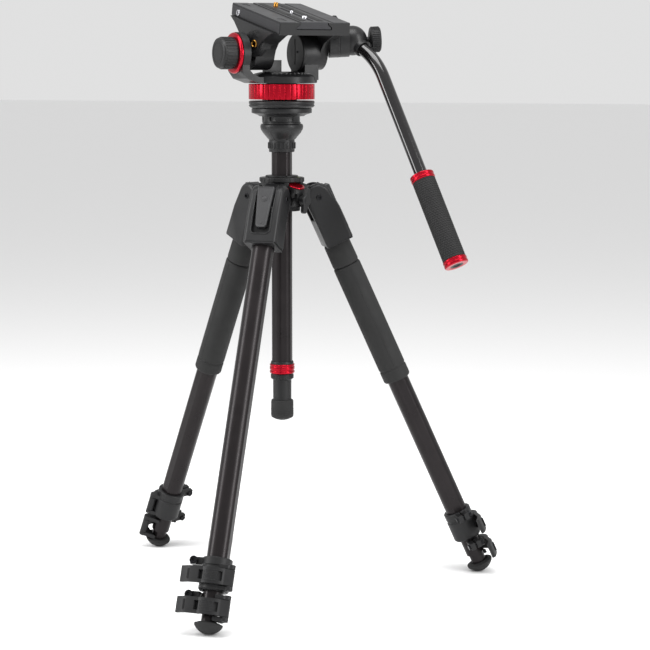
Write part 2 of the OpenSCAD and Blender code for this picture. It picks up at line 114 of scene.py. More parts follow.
@dataclass(frozen=True)
class Finish:
    """What a piece is made of and what that gives the eye."""

    name: str
    surface: Surface
    colour: str
    pale: str
    roughness: float
    metallic: float = 0.0
    coat: float = 0.0
    grain_mm: float = 0.5
    height_mm: float = 0.02
    patch_mm: float = 25.0
    swing: float = 0.12
    stretch: tuple[float, float, float] = (1.0, 1.0, 1.0)
    specular: float = 0.3

    def build(self) -> bpy.types.Material:
        """Builds the material's nodes.

        Returns:
            The material.
        """
        material = bpy.data.materials.new(self.name)
        material.use_nodes = True
        tree = material.node_tree
        shader = tree.nodes["Principled BSDF"]
        place = add_node(tree, "ShaderNodeTexCoord").outputs["Object"]
        patches = add_node(
            tree,
            "ShaderNodeTexNoise",
            {"Vector": place, "Scale": 1 / (self.patch_mm * MM), "Detail": 5.0, "Roughness": 0.6},
        )
        tint = add_node(
            tree,
            "ShaderNodeMix",
            {0: patches.outputs[0], 6: linear(self.colour), 7: linear(self.pale)},
            {"data_type": "RGBA"},
        )
        rough = add_node(
            tree,
            "ShaderNodeMapRange",
            {
                "Value": patches.outputs[0],
                "From Min": 0.3,
                "From Max": 0.7,
                "To Min": self.roughness * (1 - self.swing),
                "To Max": self.roughness * (1 + self.swing),
            },
        )
        tree.links.new(tint.outputs[2], shader.inputs["Base Color"])
        tree.links.new(rough.outputs[0], shader.inputs["Roughness"])
        shader.inputs["Metallic"].default_value = self.metallic
        shader.inputs["Specular IOR Level"].default_value = self.specular
        if self.coat:
            shader.inputs["Coat Weight"].default_value = self.coat
            shader.inputs["Coat Roughness"].default_value = 0.08
        if self.surface is not Surface.POLISHED:
            self._grain(tree, place, shader)
        return material

    def _grain(
        self, tree: bpy.types.NodeTree, place: bpy.types.NodeSocket, shader: bpy.types.Node
    ) -> None:
        """Adds the bump that the making of the surface leaves.

        Args:
            tree: The material's nodes.
            place: The coordinates to use.
            shader: The shader whose normal is bumped.
        """
        stretched = add_node(tree, "ShaderNodeMapping", {"Vector": place, "Scale": self.stretch})
        scale = 1 / (self.grain_mm * MM)
        vector = stretched.outputs[0]
        if self.surface is Surface.CAST:
            cells = add_node(tree, "ShaderNodeTexVoronoi", {"Vector": vector, "Scale": scale})
            height = cells.outputs["Distance"]
        else:
            noise = add_node(tree, "ShaderNodeTexNoise", {"Vector": vector, "Scale": scale, "Detail": 3.0})
            height = noise.outputs[0]
        bump = add_node(
            tree,
            "ShaderNodeBump",
            {"Height": height, "Strength": 0.6, "Distance": self.height_mm * MM},
        )
        tree.links.new(bump.outputs[0], shader.inputs["Normal"])


# Die-cast aluminium under satin black enamel: a faint orange peel and soft highlights.
ENAMELLED_CAST = Finish(
    "enamelled_die_cast_aluminium", Surface.CAST, "#131314", "#1b1b1c", 0.4, grain_mm=1.1, height_mm=0.03
)
# Glass-filled nylon from a spark-eroded mould: an even fine grain and a low sheen.
MOULDED_NYLON = Finish(
    "spark_grained_moulded_nylon", Surface.MOULDED, "#121213", "#19191a", 0.46, grain_mm=0.7, height_mm=0.05
)
# Drawn aluminium tube, anodised warm black: long soft streaks.
ANODISED_TUBE = Finish(
    "black_anodised_drawn_tube",
    Surface.DRAWN,
    "#1a1718",
    "#252122",
    0.3,
    metallic=0.5,
    grain_mm=0.9,
    height_mm=0.012,
)
# Soft-touch rubber: matt, with a little dust in its pores.
SOFT_RUBBER = Finish(
    "soft_touch_rubber", Surface.MOULDED, "#1b1b1b", "#232323", 0.7, grain_mm=0.8, height_mm=0.06
)
# Unpainted grey moulded nylon.
GREY_NYLON = Finish(
    "grey_moulded_nylon", Surface.MOULDED, "#303031", "#3a3a3b", 0.45, grain_mm=0.7, height_mm=0.04
)
# Bead-blasted and anodised dark grey aluminium.
BLASTED_PLATE = Finish(
    "blasted_grey_anodised_aluminium",
    Surface.CAST,
    "#2b2b2d",
    "#38383a",
    0.42,
    metallic=0.5,
    grain_mm=0.6,
    height_mm=0.02,
)
# Turned aluminium, dyed red and anodised: bright bands on its flats.
RED_ANODISED = Finish(
    "red_anodised_turned_aluminium",
    Surface.TURNED,
    "#960a1b",
    "#ac0f25",
    0.27,
    metallic=0.8,
    grain_mm=0.8,
    height_mm=0.01,
)
# Turned brass, lightly tarnished.
TURNED_BRASS = Finish(
    "turned_brass", Surface.TURNED, "#b8843a", "#d19a4a", 0.28, metallic=1.0, grain_mm=0.6, height_mm=0.01
)
# Turned stainless steel.
TURNED_STEEL = Finish(
    "turned_stainless_steel",
    Surface.TURNED,
    "#b4b4b8",
    "#c8c8cc",
    0.24,
    metallic=1.0,
    grain_mm=0.6,
    height_mm=0.01,
)
# Baked gloss paint on a steel bar.
GLOSS_PAINT = Finish("baked_gloss_black_paint", Surface.POLISHED, "#0d0c0d", "#141213", 0.16, coat=0.6)
# Blackened steel of screws and axles: a dull dark sheen.
BLACK_STEEL = Finish(
    "blackened_screw_steel",
    Surface.TURNED,
    "#1c1c1e",
    "#262628",
    0.32,
    metallic=0.8,
    grain_mm=0.6,
    height_mm=0.01,
)
# White pad-printed marks.
WHITE_PRINT = Finish("white_pad_print", Surface.POLISHED, "#b9b9b9", "#cfcfcf", 0.6)
# Yellow-green spirit of a bubble level.
LEVEL_SPIRIT = Finish("green_level_spirit", Surface.POLISHED, "#9fb83e", "#b4cc52", 0.08, coat=1.0)
FINISHES = (
    ENAMELLED_CAST,
    MOULDED_NYLON,
    ANODISED_TUBE,
    SOFT_RUBBER,
    GREY_NYLON,
    BLASTED_PLATE,
    RED_ANODISED,
    TURNED_BRASS,
    TURNED_STEEL,
    GLOSS_PAINT,
    BLACK_STEEL,
    WHITE_PRINT,
    LEVEL_SPIRIT,
)


# ---- Shaping ----


def local_frame(origin: Vector, x_axis: Vector, z_axis: Vector) -> Matrix:
    """Makes the matrix from a local frame in millimetres to the row frame in metres.

    Args:
        origin: The local frame's origin, in metres.
        x_axis: Its x direction, squared to z_axis.
        z_axis: Its z direction.

    Returns:
        The matrix.
    """
    z = z_axis.normalized()
    y = z.cross(x_axis).normalized()
    turn = Matrix((y.cross(z), y, z)).transposed().to_4x4()
    return Matrix.Translation(origin) @ turn @ Matrix.Scale(MM, 4)


def arc(centre: Point2, radius: float, start: float, end: float, steps: int = 8) -> list[Point2]:
    """Gives points on an arc.

    Args:
        centre: The arc's centre.
        radius: Its radius.
        start: First angle in degrees.
        end: Last angle in degrees.
        steps: Number of chords.

    Returns:
        The points, both ends included.
    """
    turns = (math.radians(start + (end - start) * k / steps) for k in range(steps + 1))
    return [(centre[0] + radius * math.cos(t), centre[1] + radius * math.sin(t)) for t in turns]


def fluted(
    count: int, crest_r: float, valley_r: float, half: float, steps: int, lead: float = 0.0
) -> list[Point2]:
    """Gives the outline of a knob or ring with a valley between its crests.

    Args:
        count: Number of crests.
        crest_r: Radius of the crests.
        valley_r: Radius at the bottom of the valleys.
        half: Half the angle of one crest, in degrees.
        steps: Number of chords on a crest.
        lead: Angle of the first crest's middle, in degrees.

    Returns:
        The outline's points.
    """
    step = 360 / count
    outline = []
    for k in range(count):
        at = lead + step * k
        outline += arc((0, 0), crest_r, at - half, at + half, steps)
        outline += arc((0, 0), valley_r, at + step / 2, at + step / 2, 1)[:1]
    return outline


class Form:
    """A mesh being shaped in millimetres, in a local frame."""

    def __init__(self) -> None:
        """Starts an empty form."""
        self.bm = bmesh.new()

    @classmethod
    def turned(cls, profile: Sequence[Point2], steps: int = 96, sweep: Point2 | None = None) -> "Form":
        """Turns an outline about z.

        Args:
            profile: Radius and height of each corner of the closed outline.
            steps: Number of facets.
            sweep: First and last angle in degrees of a part turn.

        Returns:
            The turned form.
        """
        form = cls()
        bm = form.bm
        start, end = sweep or (0, 360)
        corners = [bm.verts.new((r, 0, z)) for r, z in profile]
        lead = Matrix.Rotation(math.radians(start), 4, "Z")
        bmesh.ops.transform(bm, matrix=lead, verts=corners)
        if sweep:
            geometry = [bm.faces.new(corners)]
        else:
            geometry = [
                bm.edges.new((a, b)) for a, b in zip(corners, corners[1:] + corners[:1], strict=True)
            ]
        bmesh.ops.spin(
            bm,
            geom=geometry,
            cent=(0, 0, 0),
            axis=(0, 0, 1),
            angle=math.radians(end - start),
            steps=steps,
            use_merge=not sweep,
        )
        return form._closed()

    @classmethod
    def pressed(cls, outline: Sequence[Point2], low: float, high: float) -> "Form":
        """Extrudes an outline along z.

        Args:
            outline: The outline's corners in x and y.
            low: Height of the lower face.
            high: Height of the upper face.

        Returns:
            The extruded form.
        """
        form = cls()
        face = form.bm.faces.new([form.bm.verts.new((x, y, low)) for x, y in outline])
        raised = bmesh.ops.extrude_face_region(form.bm, geom=[face])["geom"]
        bmesh.ops.translate(
            form.bm,
            vec=(0, 0, high - low),
            verts=[v for v in raised if isinstance(v, bmesh.types.BMVert)],
        )
        return form._closed()

    @classmethod
    def block(cls, low: Sequence[float], high: Sequence[float]) -> "Form":
        """Makes a box between two corners."""
        form = cls()
        bmesh.ops.create_cube(form.bm, size=1.0)
        middle = (Vector(low) + Vector(high)) / 2
        span = Vector(high) - Vector(low)
        bmesh.ops.scale(form.bm, vec=span, verts=form.bm.verts)
        bmesh.ops.translate(form.bm, vec=middle, verts=form.bm.verts)
        return form

    @classmethod
    def of_node(cls, node: str, place: Matrix) -> "Form":
        """Copies a CAD node's solid into a local frame, with its flat faces made whole.

        Args:
            node: The CAD node.
            place: The local frame.

        Returns:
            The copy.
        """
        form = cls()
        form.bm.from_mesh(frame["nodes"][node].data)
        bmesh.ops.transform(form.bm, matrix=place.inverted(), verts=form.bm.verts)
        bmesh.ops.remove_doubles(form.bm, verts=form.bm.verts, dist=0.004)
        bmesh.ops.dissolve_limit(
            form.bm, angle_limit=PLANAR_ANGLE, verts=form.bm.verts, edges=form.bm.edges
        )
        return form

    def _closed(self) -> "Form":
        """Merges doubles, points the faces outwards and returns the form."""
        bmesh.ops.remove_doubles(self.bm, verts=self.bm.verts, dist=1e-4)
        bmesh.ops.recalc_face_normals(self.bm, faces=self.bm.faces)
        return self

    def bevel(
        self,
        width: float,
        segments: int = 3,
        above: float = 30.0,
        where: Callable[[Vector, Vector], bool] | None = None,
    ) -> "Form":
        """Rounds the sharp edges.

        Args:
            width: Width of the rounding.
            segments: Number of strips.
            above: Least angle between an edge's faces, in degrees.
            where: Picks edges by the places of their two ends.

        Returns:
            The form.
        """
        edges = [
            e
            for e in self.bm.edges
            if e.calc_face_angle(0) > math.radians(above)
            and (where is None or where(e.verts[0].co, e.verts[1].co))
        ]
        bmesh.ops.bevel(
            self.bm,
            geom=edges,
            offset=width,
            offset_type="OFFSET",
            segments=segments,
            profile=0.5,
            material=-1,
            affect="EDGES",
            clamp_overlap=True,
        )
        return self

    def moved(self, x: float = 0, y: float = 0, z: float = 0) -> "Form":
        """Shifts the form and returns it."""
        bmesh.ops.translate(self.bm, vec=(x, y, z), verts=self.bm.verts)
        return self

    def spun(self, degrees: float, axis: str) -> "Form":
        """Turns the form about an axis through the origin and returns it."""
        return self.placed(Matrix.Rotation(math.radians(degrees), 4, axis))

    def placed(self, matrix: Matrix) -> "Form":
        """Applies a matrix to the form and returns it."""
        bmesh.ops.transform(self.bm, matrix=matrix, verts=self.bm.verts)
        return self

    def each_vertex(self, change: Callable[[Vector], Vector]) -> "Form":
        """Moves each vertex to where a rule puts it and returns the form."""
        for vertex in self.bm.verts:
            vertex.co = change(vertex.co)
        return self

    def copy(self) -> "Form":
        """Returns a separate copy of the form."""
        twin = Form()
        twin.bm.free()
        twin.bm = self.bm.copy()
        return twin

    def plus(self, *others: "Form") -> "Form":
        """Adds other forms as further shells of this one.

        Args:
            others: The forms to add, which are used up.

        Returns:
            The form.
        """
        for other in others:
            carrier = bpy.data.meshes.new("carrier")
            other.bm.to_mesh(carrier)
            self.bm.from_mesh(carrier)
            bpy.data.meshes.remove(carrier)
            other.bm.free()
        return self

    def minus(self, *tools: "Form") -> "Form":
        """Cuts other forms out of this one.

        Args:
            tools: The cutting forms, which are used up.

        Returns:
            The form.
        """
        for tool in tools:
            stock, cutter = self._object("stock"), tool._object("cutter")
            cut = stock.modifiers.new("cut", "BOOLEAN")
            cut.object = cutter
            cut.solver = "EXACT"
            depsgraph = bpy.context.evaluated_depsgraph_get()
            result = bpy.data.meshes.new_from_object(stock.evaluated_get(depsgraph))
            self.bm.clear()
            self.bm.from_mesh(result)
            bmesh.ops.remove_doubles(self.bm, verts=self.bm.verts, dist=1e-3)
            for spare in (stock, cutter):
                mesh = spare.data
                bpy.data.objects.remove(spare)
                bpy.data.meshes.remove(mesh)
            bpy.data.meshes.remove(result)
            tool.bm.free()
        return self

    def ringed(self, count: int, axis: str = "Z", start: float = 0.0) -> "Form":
        """Repeats the form evenly round an axis.

        Args:
            count: Number of copies.
            axis: The axis.
            start: Angle of the first copy in degrees.

        Returns:
            A form with all the copies.
        """
        ring = Form()
        for k in range(count):
            ring.plus(self.copy().spun(start + 360 * k / count, axis))
        self.bm.free()
        return ring

    def _object(self, name: str) -> bpy.types.Object:
        """Writes the form to a new object."""
        mesh = bpy.data.meshes.new(name)
        self.bm.to_mesh(mesh)
        made = bpy.data.objects.new(name, mesh)
        bpy.context.scene.collection.objects.link(made)
        return made

    def piece(
        self,
        name: str,
        place: Matrix,
        finish: Finish,
        body: str,
        slot: str,
        stands_for: Sequence[str] = (),
        weighted: bool = True,
    ) -> bpy.types.Object:
        """Turns the form into a finished piece of the object.

        Args:
            name: The piece's name.
            place: The local frame that it was shaped in.
            finish: Its finish.
            body: The CAD body that it moves with.
            slot: The record's material slot. Not used.
            stands_for: CAD nodes that it replaces.
            weighted: Whether flat faces keep flat shading beside rounded edges.

        Returns:
            The piece.
        """
        bmesh.ops.dissolve_degenerate(self.bm, dist=0.002, edges=self.bm.edges)
        self.placed(place)
        loose = [e for e in self.bm.edges if e.is_wire]
        bmesh.ops.delete(self.bm, geom=loose, context="EDGES")
        made = self._object(name)
        self.bm.free()
        mesh = made.data
        mesh.shade_smooth()
        mesh.set_sharp_from_angle(angle=SMOOTH_ANGLE)
        if weighted:
            made.modifiers.new("flats", "WEIGHTED_NORMAL").keep_sharp = True
        mesh.materials.append(bpy.data.materials[finish.name])
        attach(made, body)
        if stands_for:
            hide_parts(*stands_for)
        log.info("%s on %s, %d faces", name, body, len(mesh.polygons))
        return made


def cylinder(radius: float, low: float, high: float, steps: int = 64) -> Form:
    """Makes a solid cylinder about z."""
    return Form.turned([(0, low), (radius, low), (radius, high), (0, high)], steps)


def pipe(outer: float, inner: float, low: float, high: float, steps: int = 96) -> Form:
    """Makes a tube about z."""
    return Form.turned([(inner, low), (outer, low), (outer, high), (inner, high)], steps)


def bead(points: Iterable[Vector], radius: float) -> Form:
    """Makes a round bead along a line.

    Args:
        points: The line's points.
        radius: The bead's radius.

    Returns:
        The bead.
    """
    curve = bpy.data.curves.new("bead", "CURVE")
    curve.dimensions = "3D"
    curve.bevel_depth = radius
    curve.bevel_resolution = 3
    curve.use_fill_caps = True
    line = curve.splines.new("POLY")
    places = list(points)
    line.points.add(len(places) - 1)
    for spot, at in zip(line.points, places, strict=True):
        spot.co = (*at, 1.0)
    carrier = bpy.data.objects.new("bead", curve)
    mesh = bpy.data.meshes.new_from_object(carrier)
    form = Form()
    form.bm.from_mesh(mesh)
    bpy.data.objects.remove(carrier)
    bpy.data.curves.remove(curve)
    bpy.data.meshes.remove(mesh)
    return form._closed()


def joint(name: str) -> dict:
    """Gives the record of a joint."""
    return next(j for j in frame["joints"] if j["name"] == name)


def mount(name: str) -> dict:
    """Gives the record of a mount."""
    return next(m for m in frame["record"]["mounts"] if m["name"] == name)


def middle(node: str) -> Vector:
    """Gives the middle of a CAD node's box, in metres."""
    low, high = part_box(node)
    return (low + high) / 2


COLUMN_AXIS = Vector((middle("column_tube").x, middle("column_tube").y, 0))
COLUMN = local_frame(COLUMN_AXIS, Vector((1, 0, 0)), Vector((0, 0, 1)))
TILT_AXIS = Vector(joint("tilt")["axis"])
HEAD = local_frame(COLUMN_AXIS, TILT_AXIS, Vector((0, 0, 1)))
TILT = local_frame(Vector(joint("tilt")["pos_m"]), TILT_AXIS, Vector(mount("camera_screw")["axis"]))
# The knuckle's centre is 4 mm inwards of the place recorded for its joint.
BAR_AXIS = Vector(joint("pan_bar_swing")["axis"])
KNUCKLE = Vector(joint("pan_bar_swing")["pos_m"]) - BAR_AXIS * 4 * MM
BAR = local_frame(KNUCKLE, -Vector(mount("camera_screw")["axis"]), BAR_AXIS)


# ---- Sub-assemblies ----


@dataclass
class Studio:
    """Floor, lights and camera."""

    lens_mm: float = 114.2
    sensor_mm: float = 36.0
    distance_m: float = 2.707
    azimuth: float = 19.2
    height_m: float = 0.694
    pitch: float = 5.36
    yaw: float = 1.2
    shift: float = -0.11
    floor_half_m: float = 30.0

    def build(self) -> None:
        """Adds the floor, the lights and the camera."""
        self._camera()
        self._floor()
        self._lights()

    def _camera(self) -> None:
        """Places the camera at the height of the head, turned a little down."""
        data = bpy.data.cameras.new("camera")
        data.lens = self.lens_mm
        data.sensor_width = self.sensor_mm
        data.shift_y = self.shift
        camera = bpy.data.objects.new("camera", data)
        bpy.context.scene.collection.objects.link(camera)
        turn = math.radians(self.azimuth)
        offset = Vector((math.sin(turn), -math.cos(turn), 0)) * self.distance_m
        camera.location = COLUMN_AXIS + offset + Vector((0, 0, self.height_m))
        camera.rotation_euler = (math.radians(90 - self.pitch), 0, turn - math.radians(self.yaw))
        bpy.context.scene.camera = camera
        bpy.context.scene.view_settings.view_transform = "Standard"

    def _floor(self) -> None:
        """Lays a wide flat pale floor, open on every side."""
        form = Form()
        bmesh.ops.create_grid(form.bm, x_segments=1, y_segments=1, size=self.floor_half_m)
        floor = form._object("floor")
        floor.data.shade_smooth()
        paper = bpy.data.materials.new("studio_paper")
        paper.use_nodes = True
        shader = paper.node_tree.nodes["Principled BSDF"]
        shader.inputs["Base Color"].default_value = linear("#f4f4f4")
        shader.inputs["Roughness"].default_value = 0.9
        floor.data.materials.append(paper)

    def _lights(self) -> None:
        """Hangs soft boxes left, right and above, over an even pale surround."""
        world = bpy.data.worlds.new("surround")
        world.use_nodes = True
        background = world.node_tree.nodes["Background"]
        background.inputs["Color"].default_value = linear("#ffffff")
        background.inputs["Strength"].default_value = 0.75
        bpy.context.scene.world = world
        for name, place, size, power in (
            ("left_box", (-1.6, -0.9, 1.3), (0.5, 1.8), 30.0),
            ("right_box", (1.9, -0.5, 1.2), (0.4, 1.8), 30.0),
            ("top_box", (0.1, -0.4, 2.4), (1.6, 1.2), 42.0),
        ):
            data = bpy.data.lights.new(name, "AREA")
            data.shape = "RECTANGLE"
            data.size, data.size_y = size
            data.energy = power
            lamp = bpy.data.objects.new(name, data)
            bpy.context.scene.collection.objects.link(lamp)
            lamp.location = place
            lamp.rotation_mode = "QUATERNION"
            lamp.rotation_quaternion = (Vector((0, 0, 0.4)) - Vector(place)).to_track_quat("-Z", "Y")


@dataclass
class Leg:
    """One telescopic leg. Its frame: origin on the hinge, x outwards, y across, z down the leg."""

    index: int
    tube_r: float = 14.3
    tube_flat: float = 13.35
    casting_half_w: float = 22.5
    casting_out: float = 21.0
    casting_end: float = 65.0
    pocket_half_w: float = 12.0
    pocket_end: float = 54.0
    cheek_r: float = 18.0
    upper_lock: float = 471.0
    lower_lock: float = 513.0
    lock_r: float = 19.0
    lever_h: float = 19.8
    lever_r: float = 24.65
    sole_r: float = 20.0
    foot_top: float = 549.5

    def __post_init__(self) -> None:
        """Finds the leg's frame from its hinge and its slide."""
        hinge = joint(f"leg_{self.index}_spread")
        down = Vector(joint(f"leg_{self.index}_middle_slide")["axis"])
        across = Vector(hinge["axis"])
        self.place = local_frame(Vector(hinge["pos_m"]), across.cross(down), down)
        self.body = f"leg_{self.index}"

    def build(self) -> None:
        """Builds every piece of the leg."""
        self._casting()
        self._selector()
        self._upper_tube()
        if f"{self.body}_grip" in frame["nodes"]:
            self._grip()
        self._lock("upper", self.upper_lock, 41.0, 14.1, self.body)
        self._lock("lower", self.lower_lock, 36.0, 9.6, f"{self.body}_middle")
        self._middle_tube()
        self._lower_tube()
        self._foot()

    def _node(self, name: str) -> str:
        """Gives the CAD node's name of one of this leg's sub-parts."""
        return f"{self.body}_{name}"

    def _casting(self) -> None:
        """Rounds the leg's casting like an elbow and rims its pocket."""
        side, end = self.casting_half_w, self.casting_end

        def outer_loop(a: Vector, b: Vector) -> bool:
            on_side = all(abs(abs(p.y) - side) < 0.05 for p in (a, b))
            at_end = all(abs(p.z - end) < 0.05 for p in (a, b))
            at_bolt = all(math.hypot(p.x, p.z) < 8 for p in (a, b))
            return on_side and not at_end and not at_bolt and a.y * b.y > 0

        form = Form.of_node(self._node("casting"), self.place)
        form.bevel(5.5, 6, 12, outer_loop)
        form.bevel(0.7, 2, 32)
        form.piece(
            self._node("casting_shell"), self.place, ENAMELLED_CAST, self.body, "cast_black",
            [self._node("casting")],
        )
        rim_r, corner_r = 0.95, 6.0
        half = self.pocket_half_w + 1.2
        bottom = self.pocket_end + 1.0
        line = [Vector((self._front_x(z), half, z)) for z in range(-14, int(bottom - corner_r), 4)]
        line += [
            Vector((self._front_x(z), y, z))
            for y, z in arc((half - corner_r, bottom - corner_r), corner_r, 0, 90, 8)
        ]
        mirrored = [Vector((p.x, -p.y, p.z)) for p in reversed(line)]
        bead(line + mirrored, rim_r).piece(
            self._node("casting_rim"), self.place, ENAMELLED_CAST, self.body, "cast_black", weighted=False
        )
        band = Form.pressed(
            [(-16.0, -20.5), (19.5, -20.5), (20.4, -18), (20.4, 18), (19.5, 20.5), (-16.0, 20.5)], 63.5, 67.5
        )
        band.minus(cylinder(self.tube_r + 0.1, 60, 70)).bevel(0.8, 3)
        band.piece(self._node("casting_lip"), self.place, MOULDED_NYLON, self.body, "moulded_black")

    def _front_x(self, down: float) -> float:
        """Gives how far out the casting's front stands at a distance down the leg."""
        straight = 24.0
        if down >= straight:
            return self.casting_out
        if down <= 0:
            return math.sqrt(max(self.cheek_r**2 - down**2, 1.0))
        return self.cheek_r + (self.casting_out - self.cheek_r) * down / straight

    def _selector(self) -> None:
        """Shapes the tapered catch that sets the leg's angle, with a bevelled border and two dimples."""
        wide, narrow = 11.0, 7.4
        outline = [(-wide, -9), (wide, -9), (wide, -4)] + [(narrow, 43), (narrow - 2.4, 46)]
        outline += [(2.4 - narrow, 46), (-narrow, 43), (-wide, -4)]
        form = Form.pressed(outline, 0, 6.5)
        top = max(form.bm.faces, key=lambda f: f.calc_center_median().z)
        bmesh.ops.inset_region(form.bm, faces=[top], thickness=1.7, depth=0.0)
        bmesh.ops.inset_region(form.bm, faces=[top], thickness=0.5, depth=-0.7)
        form.bevel(0.45, 3, 25)
        dimples = cylinder(3.1, 5.2, 6.0).moved(0, 7).plus(pipe(4.3, 3.5, 5.4, 6.15).moved(0, 7))
        dimples.plus(cylinder(1.3, 5.3, 6.1).moved(0, 40))
        form.plus(dimples.bevel(0.15, 2))
        turn = Matrix(((0, 0, 1, 15), (1, 0, 0, 0), (0, 1, 0, 0), (0, 0, 0, 1)))
        form.placed(turn)
        form.piece(
            self._node("selector_catch"), self.place, GREY_NYLON, f"{self.body}_angle_selector",
            "selector_grey", [self._node("selector")],
        )

    def _upper_tube(self) -> None:
        """Draws the upper tube with a flat down each side."""
        form = pipe(self.tube_r, 12.5, 30, self.upper_lock + 29, 128)

        def flatten(p: Vector) -> Vector:
            side = max(-self.tube_flat, min(self.tube_flat, p.y)) if math.hypot(p.x, p.y) > 14 else p.y
            return Vector((p.x, side, p.z))

        form.each_vertex(flatten)
        form.piece(
            self._node("upper_tube_drawn"), self.place, ANODISED_TUBE, self.body, "tube_black",
            [self._node("upper_tube")], weighted=False,
        )

    def _grip(self) -> None:
        """Moulds the two rubber sleeves, with a step, seams and a thick lower lip."""
        bore = self.tube_r + 0.05
        upper = Form.turned(
            [(bore, 66.5), (16.9, 66.5), (17.7, 69), (18.0, 96), (17.4, 99.2), (bore, 99.2)], 96
        )
        lower = Form.turned(
            [
                (bore, 100), (17.4, 100), (18.5, 102), (18.5, 251), (17.6, 252), (17.6, 253.4),
                (18.5, 254.5), (18.5, 268), (17.2, 270), (bore, 270),
            ],
            96,
        )
        upper.plus(lower).bevel(0.5, 3, 18)
        for y in (-1, 1):
            seam = Form.block((-0.35, 17.9, 103), (0.35, 18.75, 250)).bevel(0.2, 2)
            upper.plus(seam.spun(90 - y * 90, "Z"))
        upper.piece(
            self._node("grip_sleeve"), self.place, SOFT_RUBBER, self.body, "rubber",
            [self._node("grip")], weighted=False,
        )

    def _lock(self, name: str, top: float, height: float, lever_z: float, body: str) -> None:
        """Details one clamp: collar, ears, screw and lever.

        Args:
            name: Which lock it is.
            top: Distance down the leg of the collar's top.
            height: The collar's height.
            lever_z: Distance from the collar's top to the lever.
            body: The body that the collar moves with.
        """
        node = self._node("upper_lock" if name == "upper" else "middle_section")
        lock_place = self.place @ Matrix.Translation((0, 0, top))
        inner = 14.35 if name == "upper" else 12.45
        collar = Form.turned(
            [
                (inner, 0), (17.6, 0), (18.6, 1.0), (18.6, 9.6), (17.8, 10.4), (17.8, lever_z - 1.4),
                (19.0, lever_z - 0.6), (19.0, height - 2.2), (17.4, height), (inner - 1.8, height),
                (inner - 1.8, 29 if name == "upper" else 24), (inner, 29 if name == "upper" else 24),
            ],
            128,
        )
        collar.minus(Form.block((-0.8, 8, -1), (0.8, 25, 11)))
        collar.bevel(0.35, 2, 24)
        for low in (lever_z - 6.1, lever_z + 20.2):
            lug = Form.pressed(
                arc((9, -22.5), 5, 180 + 10, 360 + 40, 14) + [(16.5, -9), (-8, -13)], low, low + 5.7
            )
            collar.plus(lug.bevel(0.8, 3))
        for side in (-1, 1):
            x0, x1 = (1.0, 8.0) if side > 0 else (-8.0, -1.0)
            ear = Form.pressed([(x0, 14), (x1, 14), (x1, 33), (x0, 33)], 0.5, 10.0)
            collar.plus(ear.bevel(1.2, 3))
        collar.piece(
            self._node(name + "_collar"), lock_place, MOULDED_NYLON, body, "moulded_black", [node]
        )
        head = Form.turned(
            [(0, 8.1), (5.2, 8.1), (5.2, 11.4), (4.6, 12.0), (2.4, 12.0), (2.4, 9.6), (0, 9.6)], 48
        )
        nut = Form.turned([(0, -10.4), (4.2, -10.4), (4.2, -8.0), (0, -8.0)], 6)
        shank = cylinder(2.4, -8.2, 8.3, 24)
        screw = head.bevel(0.3, 2).plus(nut.bevel(0.3, 2), shank).spun(90, "Y").moved(0, 27.5, 5.2)
        screw.piece(self._node(name + "_screw"), lock_place, BLACK_STEEL, body, "moulded_black")
        pin = cylinder(1.95, lever_z - 5.4, lever_z + 25, 24).moved(9, -22.5)
        pin.bevel(0.4, 2).piece(self._node(name + "_pin"), lock_place, BLACK_STEEL, body, "moulded_black")
        self._lever(name, lock_place @ Matrix.Translation((0, 0, lever_z)))

    def _lever(self, name: str, place: Matrix) -> None:
        """Shapes the cam lever that wraps the collar, with a ribbed panel, two slots and a thumb tab.

        Args:
            name: Which lock it belongs to.
            place: The lever's frame, z from its top edge down.
        """
        outer = arc((0, 0), self.lever_r, -60, 22, 20)
        tab = [(23.2, 12), (23.6, 24), (21.6, 29.5), (17.8, 37.4), (15.6, 39.6), (13.2, 39.4), (12.2, 37.2)]
        inner = [(15.8, 31.6), (18.4, 25.4), (18.7, 12)] + arc((0, 0), 19.7, 30, -50, 20)
        eye = arc((9, -22.5), 5, 120, 300, 10)
        band = Form.pressed(outer[3:] + tab + inner + eye, 0, self.lever_h)
        band.minus(cylinder(2.05, -1, 21, 24).moved(9, -22.5))
        for turn, depth in ((26.0, 22.4), (-33.0, 21.2)):
            band.minus(Form.block((depth, -2.6, 4.2), (30, 2.6, 15.6)).spun(turn, "Z"))
        band.bevel(0.9, 3, 26)
        panel = [(24.2, z) for z in (3.2, 16.6)] + [(25.0, 16.6), (25.0, 3.2)]
        frame_bar = Form.turned(panel, 24, (-24, 17))
        frame_bar.minus(Form.turned([(24.7, 4.6), (26, 4.6), (26, 15.2), (24.7, 15.2)], 24, (-21.5, 14.5)))
        band.plus(frame_bar.bevel(0.2, 2))
        for k in range(5):
            low = 5.6 + 1.95 * k
            section = [(24.3, low), (24.95, low), (24.95, low + 0.9), (24.3, low + 0.9)]
            rib = Form.turned(section, 16, (-20, 13))
            band.plus(rib.bevel(0.2, 2))
        ridge = Form.block((-0.7, -1.2, 3.6), (0.8, 1.2, 16.2)).bevel(0.5, 3).spun(-14, "Z")
        band.plus(ridge.moved(22.9, 27.6))
        band.piece(
            self._node(name + "_lever_cam"), place, MOULDED_NYLON, f"{self.body}_{name}_clamp",
            "moulded_black", [self._node(name + "_lever")],
        )

    def _middle_tube(self) -> None:
        """Draws the middle tube, seen between the locks and when the leg is extended."""
        tube = pipe(12.35, 10.1, 66, self.lower_lock + 24, 96)
        tube.piece(
            self._node("middle_tube_drawn"), self.place, ANODISED_TUBE, f"{self.body}_middle", "tube_black",
            weighted=False,
        )

